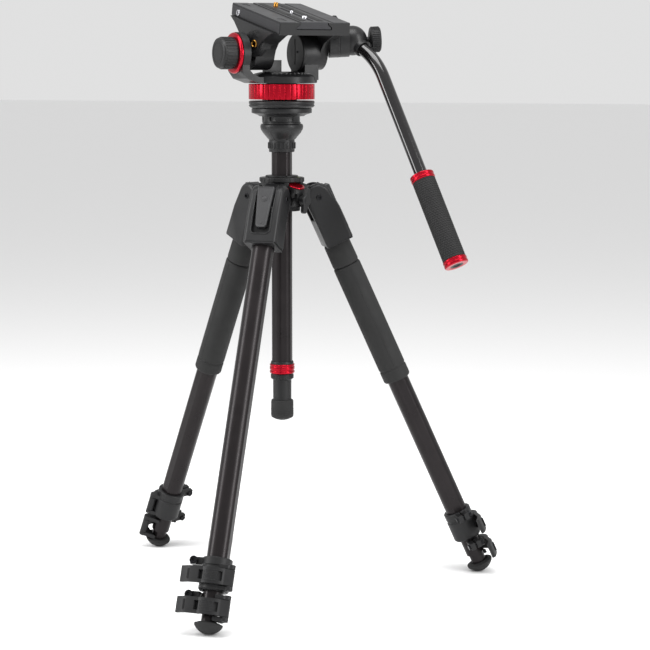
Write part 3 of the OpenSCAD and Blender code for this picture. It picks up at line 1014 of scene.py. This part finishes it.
    def _lower_tube(self) -> None:
        """Draws the lower tube."""
        tube = pipe(9.95, 8.25, 76, self.foot_top + 5, 96)
        tube.piece(
            self._node("lower_tube_drawn"), self.place, ANODISED_TUBE, f"{self.body}_lower", "tube_black",
            [self._node("lower_tube")], weighted=False,
        )

    def _foot(self) -> None:
        """Moulds the foot: a neck, a proud ring and a ball-shaped sole."""
        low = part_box(self._node("foot"))[0].z / MM
        down = (self.place.to_3x3() @ Vector((0, 0, 1))).normalized().z
        centre = (self.place.translation.z / MM - self.sole_r - low) / -down
        start = 62.0
        sole = [
            (self.sole_r * math.sin(math.radians(t)), centre + self.sole_r * math.cos(math.radians(t)))
            for t in [start - start * k / 10 for k in range(11)]
        ]
        rim = sole[0]
        profile = [(9.95, 549.6), (14.2, 549.6), (14.2, rim[1] - 2.6), (rim[0], rim[1] - 2.0)] + sole
        profile += [(0, 555)] + [(9.95, 555)]
        form = Form.turned(profile, 96).bevel(0.5, 3, 24)
        form.piece(
            self._node("foot_sole"), self.place, SOFT_RUBBER, f"{self.body}_lower", "rubber",
            [self._node("foot")], weighted=False,
        )


@dataclass
class Shoulder:
    """The casting that carries the legs, with its level, its column lock and the red cap."""

    ring_top: float = 541.0
    flange_r: float = 21.5
    lock_azimuth: float = -30.0

    def build(self) -> None:
        """Builds every piece of the shoulder."""
        form = Form.of_node("shoulder_casting", COLUMN)
        form.bevel(1.1, 3, 35).piece(
            "shoulder_hub", COLUMN, ENAMELLED_CAST, "shoulder", "cast_black", ["shoulder_casting"]
        )
        self._bushing()
        self._hinge_bolts()
        self._cap()
        self._level()
        self._lock_knob()

    def _bushing(self) -> None:
        """Turns the liner's flange, with a chamfer and four notches."""
        form = Form.turned(
            [
                (13.55, 498), (15, 498), (15, self.ring_top + 0.3), (self.flange_r, self.ring_top + 0.3),
                (self.flange_r, 542.9), (20.6, 543.5), (14.6, 543.5), (13.55, 542.6),
            ],
            128,
        )
        form.minus(Form.block((18.6, -2.0, 541.8), (23, 2.0, 545)).ringed(4, "Z", 33))
        form.bevel(0.25, 2, 30)
        form.piece("bushing_flange", COLUMN, MOULDED_NYLON, "shoulder", "moulded_black", ["column_bushing"])

    def _hinge_bolts(self) -> None:
        """Turns the socket-headed hinge bolts, seen in the castings' cheeks."""
        bolts = Form()
        half = Leg.casting_half_w + 1
        row = COLUMN.inverted()
        for index in (1, 2, 3):
            bolt = Form()
            for side in (-1, 1):
                end = Form.turned(
                    [
                        (0, half - 4), (3.95, half - 4), (3.95, half - 0.5), (3.4, half), (2.0, half),
                        (2.0, half - 2.2), (0, half - 2.2),
                    ],
                    48,
                )
                bolt.plus(end.bevel(0.15, 2).spun(-90 * side, "X"))
            bolt.plus(cylinder(3.9, 4 - half, half - 4, 48).spun(90, "X"))
            bolts.plus(bolt.placed(row @ Leg(index).place))
        bolts.piece("hinge_bolt_set", COLUMN, BLACK_STEEL, "shoulder", "bright_steel", ["hinge_bolts"])

    def _cap(self) -> None:
        """Turns the red cap over the accessory socket, with a raised rim and a dished middle."""
        profile = [
            (0, -5), (9.48, -5), (9.48, 0), (10.6, 0.05), (10.8, 0.9), (10.2, 1.6), (8.2, 1.7), (7.6, 1.2),
            (0, 1.0),
        ]
        lean = Matrix.Rotation(math.radians(21), 4, "Y")
        place = COLUMN @ Matrix.Rotation(math.radians(self.lock_azimuth), 4, "Z")
        place = place @ Matrix.Translation((29, 0, 530)) @ lean
        Form.turned(profile, 64).bevel(0.2, 2).piece(
            "socket_cap", place, RED_ANODISED, "shoulder", "red_anodised", ["socket_cover"]
        )

    def _level(self) -> None:
        """Shapes the level's ring with thumb ribs, and the vial with its circle."""
        place = COLUMN @ Matrix.Rotation(math.radians(self.lock_azimuth + 20), 4, "Z")
        ring = Form.of_node("level_ring", place).bevel(0.5, 2, 35)
        rib = Form.block((28.4, -1.1, 536), (29.6, 1.1, 540.4)).bevel(0.4, 2)
        ring.plus(rib.ringed(24, "Z", 7.5))
        ring.piece("level_dial_ring", place, MOULDED_NYLON, "level_dial", "moulded_black", ["level_ring"])
        at = place @ Matrix.Translation((26, 0, 0))
        vial = Form.turned([(0, 537), (4.45, 537), (4.45, 540.9), (3.6, 541.3), (0, 541.5)], 48)
        vial.piece("level_vial_glass", at, LEVEL_SPIRIT, "level_dial", "vial_green", ["level_vial"])
        circle = pipe(2.5, 2.2, 541.25, 541.55, 48).plus(pipe(4.9, 4.45, 540.4, 541.4, 48))
        circle.piece("level_vial_ring", at, BLACK_STEEL, "level_dial", "moulded_black", weighted=False)

    def _lock_knob(self) -> None:
        """Shapes the column lock's wing knob."""
        place = COLUMN @ Matrix.Rotation(math.radians(self.lock_azimuth), 4, "Z")
        place = place @ Matrix.Translation((0, 0, 512)) @ Matrix.Rotation(math.pi / 2, 4, "Y")
        place = place @ Matrix.Rotation(math.radians(-13), 4, "Z")
        outline = arc((13.5, 0), 3.4, -70, 70, 8) + arc((0, 0), 7.2, 40, 140, 10)
        outline += arc((-13.5, 0), 3.4, 110, 250, 8) + arc((0, 0), 7.2, 220, 320, 10)
        wing = Form.pressed(outline, 43.8, 50.2).bevel(1.3, 4, 25)
        boss = Form.turned([(0, 40.6), (6.6, 40.6), (7.0, 41.2), (7.0, 45), (0, 45)], 48)
        screw = cylinder(2.95, 15, 42, 32)
        slot = Form.turned([(0, 50), (3.4, 50), (3.4, 50.5), (0, 50.5)], 32)
        wing.plus(boss, screw, slot)
        wing.piece(
            "column_wing_knob", place, MOULDED_NYLON, "column_lock", "moulded_black", ["column_lock_knob"]
        )


@dataclass
class Column:
    """The centre column with its levelling cup, end ring, handle and rubber cap."""

    tube_r: float = 13.5
    flat: float = 13.05
    low: float = 281.5
    cup_low: float = 574.0
    ball_z: float = 613.0
    ball_r: float = 25.3

    def build(self) -> None:
        """Builds every piece of the column."""
        self._tube()
        self._end_ring()
        self._cup()
        self._handle()

    def _tube(self) -> None:
        """Draws the column with six flats."""
        form = pipe(self.tube_r, 11, self.low, self.cup_low + 14, 144)

        def flatten(p: Vector) -> Vector:
            radius = math.hypot(p.x, p.y)
            if radius < 12:
                return p
            turn = math.atan2(p.y, p.x)
            sector = math.radians(60)
            nearest = round(turn / sector) * sector
            shrink = min(radius, self.flat / math.cos(turn - nearest)) / radius
            return Vector((p.x * shrink, p.y * shrink, p.z))

        form.each_vertex(flatten)
        form.piece("column_drawn_tube", COLUMN, ANODISED_TUBE, "column", "tube_black", ["column_tube"], False)

    def _end_ring(self) -> None:
        """Turns the red end ring with its grooves."""
        low, top = self.low, self.low + 12.5
        form = Form.turned(
            [
                (13.55, low), (15.6, low), (16.4, low + 0.8), (16.4, low + 3.0), (15.6, low + 3.6),
                (15.6, low + 4.6), (16.4, low + 5.2), (16.4, low + 8.6), (15.8, low + 9.2), (15.8, low + 9.9),
                (16.4, low + 10.4), (16.4, top - 0.8), (15.6, top), (13.55, top),
            ],
            96,
        )
        form.bevel(0.2, 2, 25)
        form.piece(
            "column_red_ring", COLUMN, RED_ANODISED, "column", "red_anodised", ["column_end_ring"], False
        )
        collar = Form.turned([(13.6, top), (15.3, top), (14.6, top + 3.4), (13.6, top + 3.4)], 96)
        collar.bevel(0.3, 2).piece(
            "column_ring_collar", COLUMN, MOULDED_NYLON, "column", "moulded_black", weighted=False
        )

    def _cup(self) -> None:
        """Shapes the flared cup over a ribbed collar."""
        low = self.cup_low
        bowl = [
            (self.ball_r * math.sin(math.radians(t)), self.ball_z - self.ball_r * math.cos(math.radians(t)))
            for t in range(84, 9, -6)
        ]
        flare = [(17.2, 591), (20.4, 594.2), (24.3, 598.6), (27.4, 603.4), (28.2, 607), (27.8, 609.6)]
        flare.append((26.4, 611))
        profile = [(4.05, low), (16.2, low), (16.85, low + 0.8), (16.85, low + 4), (17.4, low + 4.6)]
        profile += [(17.4, low + 13), (16.85, low + 13.6), (16.85, 590)] + flare + bowl + [(4.05, 588.2)]
        form = Form.turned(profile, 128).bevel(0.3, 2, 28)
        rib = Form.block((16.9, -1.0, low + 4.6), (18.3, 1.0, low + 12.6)).bevel(0.5, 3)
        form.plus(rib.ringed(24))
        form.piece("levelling_cup", COLUMN, ENAMELLED_CAST, "column", "cast_black", ["ball_cup"], False)
        for k in range(6):
            gusset = [(15.6, 590), (17.4, 590.4), (25.6, 600), (27.2, 604.6), (22.0, 604.6)]
            web = Form.pressed(gusset, -1.3, 1.3)
            web.bevel(0.5, 2).spun(90, "X").spun(60 * k + 12, "Z")
            web.piece(f"levelling_cup_web_{k + 1}", COLUMN, ENAMELLED_CAST, "column", "cast_black")

    def _handle(self) -> None:
        """Turns the levelling handle and moulds its rubber cap."""
        low = self.low
        rod = Form.turned(
            [
                (0, 240.2), (12.1, 240.2), (12.15, 272.4), (13.6, 273.8), (14.75, 274.4), (14.75, low - 1.3),
                (14.0, low - 0.35), (4, low - 0.35), (4, self.ball_z - 14), (11.6, self.ball_z - 13.2),
                (11.6, self.ball_z - 9), (0, self.ball_z - 9),
            ],
            96,
        )
        rod.bevel(0.3, 2, 28)
        rib = Form.block((14.4, -0.8, 274.9), (15.1, 0.8, low - 1.8)).bevel(0.3, 2)
        rod.plus(rib.ringed(28))
        rod.piece(
            "levelling_handle_rod", COLUMN, MOULDED_NYLON, "ball_lock", "moulded_black", ["levelling_handle"]
        )
        crown = arc((0, 244), 25.6, -90, -58, 8)
        profile = crown + [(14.5, 223), (14.8, 225), (14.8, 243.8), (14.2, 245.6), (12.2, 246)]
        profile += [(12.2, 240), (0, 240)]
        cap = Form.turned(profile, 96).bevel(0.4, 3, 25)
        for low_z in (226.4, 229.4, 232.4):
            section = [(14.5, low_z), (15.05, low_z + 0.3), (15.05, low_z + 1.3), (14.5, low_z + 1.6)]
            cap.plus(Form.turned(section, 96))
        cap.piece("handle_rubber_cap", COLUMN, SOFT_RUBBER, "ball_lock", "rubber", ["handle_cap"], False)


@dataclass
class Leveller:
    """The half ball, the pan base and the red pan drag ring."""

    ball_z: float = 613.0
    disc_r: float = 39.5
    base_r: float = 43.0
    ring_r: float = 43.2
    valley_r: float = 41.9
    ring_low: float = 643.0
    ring_top: float = 663.0
    flats: int = 36

    def build(self) -> None:
        """Builds every piece between the column and the yoke."""
        self._half_ball()
        self._washer()
        self._pan_base()
        self._drag_ring()
        self._pan_lock()

    def _half_ball(self) -> None:
        """Turns the half ball with its neck block and stepped disc."""
        ball = arc((0, self.ball_z), 25, -64, 0, 8)
        inner = arc((0, self.ball_z), 17, 0, -48, 6)
        profile = ball + [
            (24, 613.4), (24, 620.6), (29.6, 621), (31.5, 622.6), (37.6, 624.6), (self.disc_r, 625.4),
            (self.disc_r, 630.2), (38.6, 631.9), (0, 631.9), (0, 620), (17, 617),
        ] + inner
        form = Form.turned(profile, 128)
        form.minus(Form.block((22.2, -4.2, 614.4), (26, 4.2, 620.2)).ringed(6, "Z", 18))
        form.bevel(0.35, 2, 28)
        form.piece("half_ball_disc", COLUMN, ENAMELLED_CAST, "head_base", "cast_black", ["half_ball"], False)

    def _washer(self) -> None:
        """Turns the brass pressure washer inside the ball."""
        form = Form.of_node("ball_washer", COLUMN)
        form.piece("ball_pressure_washer", COLUMN, TURNED_BRASS, "ball_pivot", "brass", ["ball_washer"])

    def _pan_base(self) -> None:
        """Turns the base that the head pans on, with a groove and a chamfered edge."""
        form = Form.turned(
            [
                (0, 632), (40.4, 632), (self.base_r, 634), (self.base_r, 635.6), (42.2, 636.2), (42.2, 636.9),
                (self.base_r, 637.5), (self.base_r, 640), (42.2, 641), (20, 641), (20, 668), (0, 668),
            ],
            128,
        )
        form.bevel(0.25, 2, 28)
        form.piece("pan_base_disc", HEAD, ENAMELLED_CAST, "head_base", "cast_black", ["pan_base"], False)

    def _drag_ring(self) -> None:
        """Turns the red drag ring and mills broad flats round it."""
        half = 180 / self.flats
        outline = fluted(self.flats, self.ring_r, self.valley_r, 0.8 * half, 4, half)
        form = Form.pressed(outline, self.ring_low, self.ring_top)
        form.bevel(1.0, 3, 50)
        form.minus(cylinder(20.35, 640, 666, 96))
        form.piece("pan_red_ring", HEAD, RED_ANODISED, "pan_drag", "red_anodised", ["pan_drag_ring"], False)

    def _pan_lock(self) -> None:
        """Shapes the small pan lock lever at the back of the base."""
        place = HEAD @ Matrix.Translation((0, 33, 636.5)) @ Matrix.Rotation(math.radians(90), 4, "Y")
        clamp_lever().piece(
            "pan_lock_arm", place, MOULDED_NYLON, "pan_lock", "moulded_black", ["pan_lock_lever"]
        )


def clamp_lever() -> Form:
    """Makes a small clamp lever: screw and boss along y, arm along x."""
    outline = arc((24, 0), 3.9, -90, 90, 10) + arc((0, 0), 5, 100, 260, 12)
    arm = Form.pressed(outline, -17.4, -13.2).bevel(1.0, 3, 25)
    boss = Form.turned([(0, -18), (5.2, -18), (6, -17), (6, -10.6), (0, -10.6)], 48).bevel(0.3, 2)
    screw = cylinder(2.95, -12, 0, 32)
    return arm.plus(boss, screw).spun(90, "X")


@dataclass
class Yoke:
    """The panning yoke, its drag controls and its lock."""

    axis_z: float = 703.0
    disc_r: float = 25.0

    def build(self) -> None:
        """Builds every piece of the yoke."""
        axis = HEAD @ Matrix.Translation((0, 0, self.axis_z)) @ Matrix.Rotation(math.pi / 2, 4, "Y")
        self.axis = axis
        self._casting()
        self._inner_disc()
        self._drag_knob()
        self._marks()
        place = HEAD @ Matrix.Translation((34, 12.5, 684)) @ Matrix.Rotation(-math.pi / 2, 4, "Y")
        clamp_lever().piece(
            "tilt_lock_arm", place, MOULDED_NYLON, "tilt_lock", "moulded_black", ["tilt_lock_lever"]
        )

    def _casting(self) -> None:
        """Rounds the yoke's casting and adds the shoulder dome under its arms."""
        form = Form.of_node("yoke", HEAD)
        step = Form.pressed([(44.6, 663), (70, 663), (70, 691), (44.6, 691)], -30, 30).spun(90, "X")
        form.minus(step).bevel(1.4, 3, 35)
        dome = Form.turned(
            [(20.2, 671), (42.9, 671), (41.6, 673.2), (36, 676.4), (28, 678.4), (20.2, 679)], 96
        )
        form.plus(dome.bevel(0.4, 2, 25))
        form.piece("yoke_casting", HEAD, ENAMELLED_CAST, "head", "cast_black", ["yoke"])

    def _inner_disc(self) -> None:
        """Turns the disc that faces inwards on the right arm, with an upright slot and a pin."""
        rim_r = self.disc_r + 0.3
        disc = Form.turned(
            [
                (0, 19.9), (10.4, 19.9), (11, 19.6), (rim_r - 1.5, 19.6), (rim_r, 20.6), (rim_r, 24),
                (0, 24),
            ],
            96,
        )
        disc.bevel(0.3, 2, 30)
        disc.minus(Form.block((-18.5, -1.1, 18), (15, 1.1, 20.7)))
        pin = cylinder(1.2, 18.9, 20.4, 24).moved(-1.5, -5.5)
        disc.plus(pin)
        disc.piece("tilt_disc", self.axis, MOULDED_NYLON, "head", "cast_black")

    def _drag_knob(self) -> None:
        """Shapes the ribbed tilt drag knob, its faint face ring and the red ring behind it."""
        knob = Form.turned(
            [(0, -92), (17.6, -92), (19.2, -91.2), (20.2, -88.6), (20.4, -71.6), (0, -71.6)], 128
        ).bevel(0.4, 3, 25)
        rib = Form.block((19.8, -1.1, -87.6), (21.0, 1.1, -73.4)).bevel(0.45, 3)
        knob.plus(rib.ringed(30))
        knob.plus(pipe(13.9, 13.4, -92.25, -91.8, 96), pipe(10.4, 0.6, -92.12, -91.9, 96))
        knob.piece(
            "tilt_drag_dial", self.axis, MOULDED_NYLON, "tilt_drag", "moulded_black", ["tilt_drag_knob"]
        )
        ring = Form.turned(
            [
                (0, -71.5), (24.4, -71.5), (26.0, -70.7), (26.5, -69.4), (26.5, -68.1), (26.1, -67.35),
                (0, -67.35),
            ],
            128,
        ).bevel(0.25, 2, 20)
        ring.piece(
            "tilt_red_ring", self.axis, RED_ANODISED, "tilt_drag", "red_anodised", ["tilt_drag_ring"], False
        )

    def _marks(self) -> None:
        """Prints a plain scale of ticks on the base's dome, facing the front."""
        marks = Form()
        for row, (radius, count, size) in enumerate(((37.2, 11, 2.4), (32.4, 7, 1.5))):
            for k in range(count):
                if row and k == count // 2:
                    continue
                turn = -90 + (k - (count - 1) / 2) * (9 if not row else 14)
                tick = Form.block((-size / 2, -0.4, 0), (size / 2, 0.4, 0.35))
                marks.plus(tick.moved(radius, 0, 676.1 + row).spun(turn, "Z"))
        marks.piece("yoke_scale_ticks", HEAD, WHITE_PRINT, "head", "cast_black")


@dataclass
class Cradle:
    """The tilting bridge with its rosettes, sliding plate, screws and plate knob."""

    slide_mid: float = 7.0
    plate_half: float = 70.0
    plate_top: float = 54.0
    bridge_top: float = 53.0
    splay: float = 20.0
    free_rosette_at: tuple[float, float, float] = (-50, -17.2, 15.7)
    plate_knob_at: tuple[float, float, float] = (54, -23, 45.5)

    def build(self) -> None:
        """Builds every piece of the cradle."""
        splay = Matrix.Rotation(math.radians(self.splay - 180), 4, "Z")
        self.left = TILT @ Matrix.Translation(self.free_rosette_at) @ splay
        self.left = self.left @ Matrix.Rotation(math.pi / 2, 4, "Y")
        self._bridge()
        self._left_rosette()
        self._right_boss()
        self._plate()
        self._screws()
        self._plate_knob()

    def _bridge(self) -> None:
        """Rounds the bridge and details its jaw."""
        form = Form.of_node("bridge", TILT)
        form.bevel(1.3, 3, 40)
        form.piece("bridge_casting", TILT, ENAMELLED_CAST, "cradle", "cast_black", ["bridge"])
        jaw = Form.pressed([(-42.2, -70), (-20.0, -70), (-20.0, 70), (-42.2, 70)], 52.0, 53.6)
        for low in (44, -60):
            jaw.minus(Form.block((-34.5, low, 52.9), (-27.5, low + 16, 55)))
        jaw.bevel(0.5, 2).piece("bridge_left_top", TILT, BLASTED_PLATE, "cradle", "plate_grey")
        cheek = Form.block((-42.9, -70.3, 38.4), (-41.0, 70.3, 51.4)).bevel(0.6, 3)
        cheek.piece("bridge_left_face", TILT, BLASTED_PLATE, "cradle", "plate_grey")
        rail = Form.pressed([(34.2, -70), (58.2, -70), (58.2, 70), (34.2, 70)], 52.0, 53.6)
        rail.bevel(0.5, 2).piece("bridge_right_top", TILT, BLASTED_PLATE, "cradle", "plate_grey")
        axles = Form.of_node("tilt_axles", TILT).bevel(0.5, 2)
        axles.piece("tilt_axle_pair", TILT, BLACK_STEEL, "cradle", "bright_steel", ["tilt_axles"])

    def _left_rosette(self) -> None:
        """Cuts the radial teeth of the free rosette round its brass insert."""
        ring = Form.turned(
            [(6.2, -0.6), (8.2, 0.2), (16.4, 0.2), (17.1, -0.6), (17.1, -2.4), (6.2, -2.4)], 96
        )
        tooth = Form.pressed([(8.4, -0.22), (16.8, -0.62), (16.8, 0.62), (8.4, 0.22)], 0.0, 0.95)
        ring.plus(tooth.bevel(0.2, 1).ringed(36))
        ring.piece("left_rosette_teeth", self.left, ENAMELLED_CAST, "cradle", "cast_black")
        insert = Form.turned(
            [(3.0, -11), (4.98, -11), (4.98, 0.6), (4.4, 1.0), (3.5, 1.0), (3.0, 0.4)], 64
        ).bevel(0.15, 2)
        insert.piece("rosette_brass", self.left, TURNED_BRASS, "cradle", "brass", ["rosette_insert"])

    def _right_boss(self) -> None:
        """Turns the toothed face between the bridge and the bar's clamp."""
        face = Form.turned([(4.6, -19.1), (20.2, -19.1), (21.1, -19.6), (21.1, -21.8), (4.6, -21.8)], 96)
        face.bevel(0.3, 2, 25)
        face.piece("right_rosette_rim", BAR, ENAMELLED_CAST, "cradle", "cast_black")

    def _plate(self) -> None:
        """Rounds the sliding plate and lays its rubber strips and slot."""
        form = Form.of_node("sliding_plate", TILT).bevel(0.7, 3, 30)
        slot = Form.pressed(
            arc((0, 30), 3.4, 0, 180, 12) + arc((0, -58), 3.4, 180, 360, 12), 0, 3
        ).moved(self.slide_mid, 0, self.plate_top - 1.2)
        slot_two = Form.block((-1.4, -66, 0), (1.4, -61, 3)).moved(self.slide_mid, 0, self.plate_top - 0.8)
        form.minus(slot, slot_two)
        form.piece("sliding_plate_body", TILT, BLASTED_PLATE, "camera_plate", "plate_grey", ["sliding_plate"])
        strips = Form()
        for x in (-12.5, 12.5):
            for k in range(3):
                low = -62 + 42 * k
                pad = Form.block((x - 4.2, low, 0), (x + 4.2, low + 38, 0.55)).bevel(0.2, 2)
                strips.plus(pad.moved(self.slide_mid, 0, self.plate_top - 0.1))
        strips.piece("sliding_plate_strips", TILT, SOFT_RUBBER, "camera_plate", "plate_grey")

    def _screws(self) -> None:
        """Turns the brass camera screw with its thread, and the two steel pins."""
        top = self.plate_top + 5.5
        outline = [(0, 44.4), (7.4, 44.4), (7.4, 47.9), (3.0, 47.9), (3.0, 54.2)]
        pitch = 1.27
        for k in range(4):
            base = 54.4 + k * pitch
            outline += [(2.75, base), (3.17, base + 0.45), (3.17, base + 0.75), (2.75, base + 1.15)]
        outline += [(2.5, top), (0, top)]
        screw = Form.turned(outline, 64).moved(self.slide_mid, 42)
        screw.piece(
            "camera_screw_brass", TILT, TURNED_BRASS, "camera_plate", "brass", ["camera_screw"], False
        )
        pins = Form.turned([(0, 53), (2.2, 53), (2.2, 56.4), (1.7, 57), (0, 57)], 32)
        pins.moved(self.slide_mid, -4)
        wide = Form.turned([(0, 53), (3.4, 53), (3.4, 56.4), (2.8, 57), (1.4, 57), (1.4, 56), (0, 56)], 48)
        pins.plus(wide.moved(self.slide_mid, -41))
        pins.piece("plate_steel_pins", TILT, TURNED_STEEL, "camera_plate", "bright_steel", weighted=False)
        socket = Form.turned(
            [(0, 0), (4.6, 0), (4.6, 2.2), (4.0, 2.8), (2.2, 2.8), (2.2, 0.8), (0, 0.8)], 48
        ).bevel(0.2, 2, 25)
        socket.spun(-90, "Y").moved(-41.4, 50, 43.4)
        socket.piece("jaw_socket_screw", TILT, TURNED_STEEL, "cradle", "bright_steel", weighted=False)

    def _plate_knob(self) -> None:
        """Shapes the plate lock's knob with finger flutes."""
        place = TILT @ Matrix.Translation(self.plate_knob_at) @ Matrix.Rotation(math.pi / 2, 4, "Y")
        knob = Form.pressed(fluted(8, 9.0, 8.0, 14, 5), 4.6, 9).bevel(0.8, 3, 40)
        knob.plus(cylinder(2.95, 0.2, 5, 32))
        knob.piece("plate_lock_knob", place, MOULDED_NYLON, "plate_lock", "moulded_black", ["plate_knob"])


@dataclass
class PanBar:
    """The pan bar: clamp, cranked bar, ribbed grip and knurled knob."""

    bar_r: float = 8.5
    spin: float = -62.1
    lean: float = 29.9
    twist: float = 63.8
    bend: float = 29.8
    bend_from: float = 28.1
    bend_r: float = 90.0
    bar_low: float = 10.6
    length: float = 269.4
    grip_from: float = 140.9
    grip_r: float = 15.0

    def build(self) -> None:
        """Builds every piece of the pan bar."""
        turn = Matrix.Rotation(math.radians(self.spin), 4, "Z")
        turn = turn @ Matrix.Rotation(math.radians(90 - self.lean), 4, "Y")
        self.bar = BAR @ turn @ Matrix.Rotation(math.radians(self.twist), 4, "Z")
        past = Matrix.Translation((0, 0, self.bend_from)) @ Matrix.Translation((self.bend_r, 0, 0))
        past = past @ Matrix.Rotation(math.radians(self.bend), 4, "Y")
        past = past @ Matrix.Translation((-self.bend_r, 0, 0))
        self.straight = self.bar @ past
        self._clamp()
        self._bar()
        self._grip()
        self._knob()

    def _clamp(self) -> None:
        """Shapes the clamp: a toothed flange, a domed knuckle and the bar's socket."""
        flange = Form.turned(
            [(4.1, -18.6), (20.0, -18.6), (21, -17.8), (21, -7.5), (19.4, -5.7), (4.1, -5.7)], 96
        ).bevel(0.4, 3, 25)
        tooth = Form.block((15.6, -0.5, -19.0), (20.4, 0.5, -18.2)).bevel(0.15, 1)
        flange.plus(tooth.ringed(36))
        knuckle = Form.of_node("bar_clamp", BAR)
        knuckle.bevel(0.8, 3, 32).plus(flange)
        knuckle.piece(
            "bar_clamp_knuckle", BAR, ENAMELLED_CAST, "pan_handle", "moulded_black", ["bar_clamp"]
        )
        mouth = Form.turned(
            [(8.6, 20.4), (10.9, 20.4), (11.0, 21.2), (10.6, 22.4), (9.2, 22.4), (8.6, 21.8)], 64
        )
        mouth.piece(
            "bar_socket_mouth", self.bar, MOULDED_NYLON, "pan_handle", "moulded_black", weighted=False
        )

    def _bar(self) -> None:
        """Bends the bar: a straight end, the crank and the long straight."""
        form = Form()
        bm = form.bm
        bmesh.ops.create_circle(bm, cap_ends=False, segments=48, radius=self.bar_r)
        bmesh.ops.translate(bm, vec=(0, 0, self.bar_low), verts=bm.verts)
        ring = list(bm.edges)
        bmesh.ops.holes_fill(bm, edges=ring, sides=0)
        ring = self._drawn(bm, ring, Vector((0, 0, self.bend_from - self.bar_low)))
        bent = bmesh.ops.spin(
            bm, geom=ring, cent=(self.bend_r, 0, self.bend_from), axis=(0, 1, 0),
            angle=math.radians(self.bend), steps=14,
        )["geom_last"]
        ring = [e for e in bent if isinstance(e, bmesh.types.BMEdge)]
        lean = math.radians(self.bend)
        ring = self._drawn(bm, ring, Vector((math.sin(lean), 0, math.cos(lean))) * (self.length - 9))
        bmesh.ops.holes_fill(bm, edges=ring, sides=0)
        form._closed()
        form.piece("pan_bar_rod", self.bar, GLOSS_PAINT, "pan_handle", "gloss_black", ["pan_bar"], False)

    @staticmethod
    def _drawn(
        bm: bmesh.types.BMesh, ring: list[bmesh.types.BMEdge], along: Vector
    ) -> list[bmesh.types.BMEdge]:
        """Extrudes a ring of edges and returns the new ring."""
        made = bmesh.ops.extrude_edge_only(bm, edges=ring)["geom"]
        bmesh.ops.translate(bm, vec=along, verts=[g for g in made if isinstance(g, bmesh.types.BMVert)])
        edges = [g for g in made if isinstance(g, bmesh.types.BMEdge)]
        ends = {v for v in made if isinstance(v, bmesh.types.BMVert)}
        return [e for e in edges if e.verts[0] in ends and e.verts[1] in ends]

    def _grip(self) -> None:
        """Moulds the ribbed grip between two red rings, with a plug in its end."""
        start, end = self.grip_from, self.length
        sleeve = pipe(self.grip_r - 0.5, self.bar_r + 0.05, start + 8.8, end - 8.8, 96)
        studs = Form()
        rows, per_row = 38, 26
        stud = Form.block((self.grip_r - 0.8, -1.25, -1.0), (self.grip_r + 0.15, 1.25, 1.0)).bevel(0.45, 1)
        ring = stud.ringed(per_row)
        pitch = (end - start - 20.5) / (rows - 1)
        for k in range(rows):
            half_turn = 180 / per_row if k % 2 else 0
            studs.plus(ring.copy().spun(half_turn, "Z").moved(0, 0, start + 10.2 + pitch * k))
        sleeve.plus(studs)
        sleeve.piece(
            "bar_grip_sleeve", self.straight, SOFT_RUBBER, "pan_handle", "rubber", ["bar_grip"], False
        )
        rings = Form()
        bore = self.bar_r + 0.05
        for low in (start, end - 9):
            collar = Form.turned(
                [
                    (bore, low), (14.6, low), (15.8, low + 1.0), (15.8, low + 3.4), (15.2, low + 4.0),
                    (15.2, low + 5.0), (15.8, low + 5.6), (15.8, low + 8.0), (14.6, low + 9.0),
                    (bore, low + 9.0),
                ],
                96,
            )
            rings.plus(collar.bevel(0.2, 2, 25))
        rings.piece(
            "bar_grip_rings", self.straight, RED_ANODISED, "pan_handle", "red_anodised", weighted=False
        )
        plug = Form.turned(
            [
                (0, end - 8), (8.4, end - 8), (12.6, end - 0.4), (12.2, end - 0.05), (5.4, end - 0.05),
                (4.6, end - 1.2), (0, end - 1.6),
            ],
            64,
        )
        plug.bevel(0.2, 2, 25)
        plug.piece(
            "bar_grip_plug", self.straight, MOULDED_NYLON, "pan_handle", "moulded_black", weighted=False
        )

    def _knob(self) -> None:
        """Shapes the thick knurled clamp knob."""
        knob = Form.turned(
            [
                (0, 22.1), (10.5, 22.1), (15.2, 23.4), (16.3, 24.8), (16.3, 34.6), (15.2, 36.6), (12.8, 36.9),
                (12.1, 36.3), (0, 36.3),
            ],
            128,
        ).bevel(0.4, 3, 25)
        rib = Form.block((15.9, -0.65, 24.6), (16.95, 0.65, 35.2)).bevel(0.35, 2)
        knob.plus(rib.ringed(40))
        knob.plus(cylinder(3.95, -28, 22.5, 48))
        knob.piece("bar_clamp_knob", BAR, MOULDED_NYLON, "handle_lock", "moulded_black", ["bar_knob"])


def main() -> None:
    """Builds the finishes, the studio and each sub-assembly."""
    logging.basicConfig(level=logging.INFO, format="%(message)s")
    for finish in FINISHES:
        finish.build()
    Studio().build()
    for index in (1, 2, 3):
        Leg(index).build()
    for assembly in (Shoulder(), Column(), Leveller(), Yoke(), Cradle(), PanBar()):
        assembly.build()


if __name__ == "__main__":
    main()
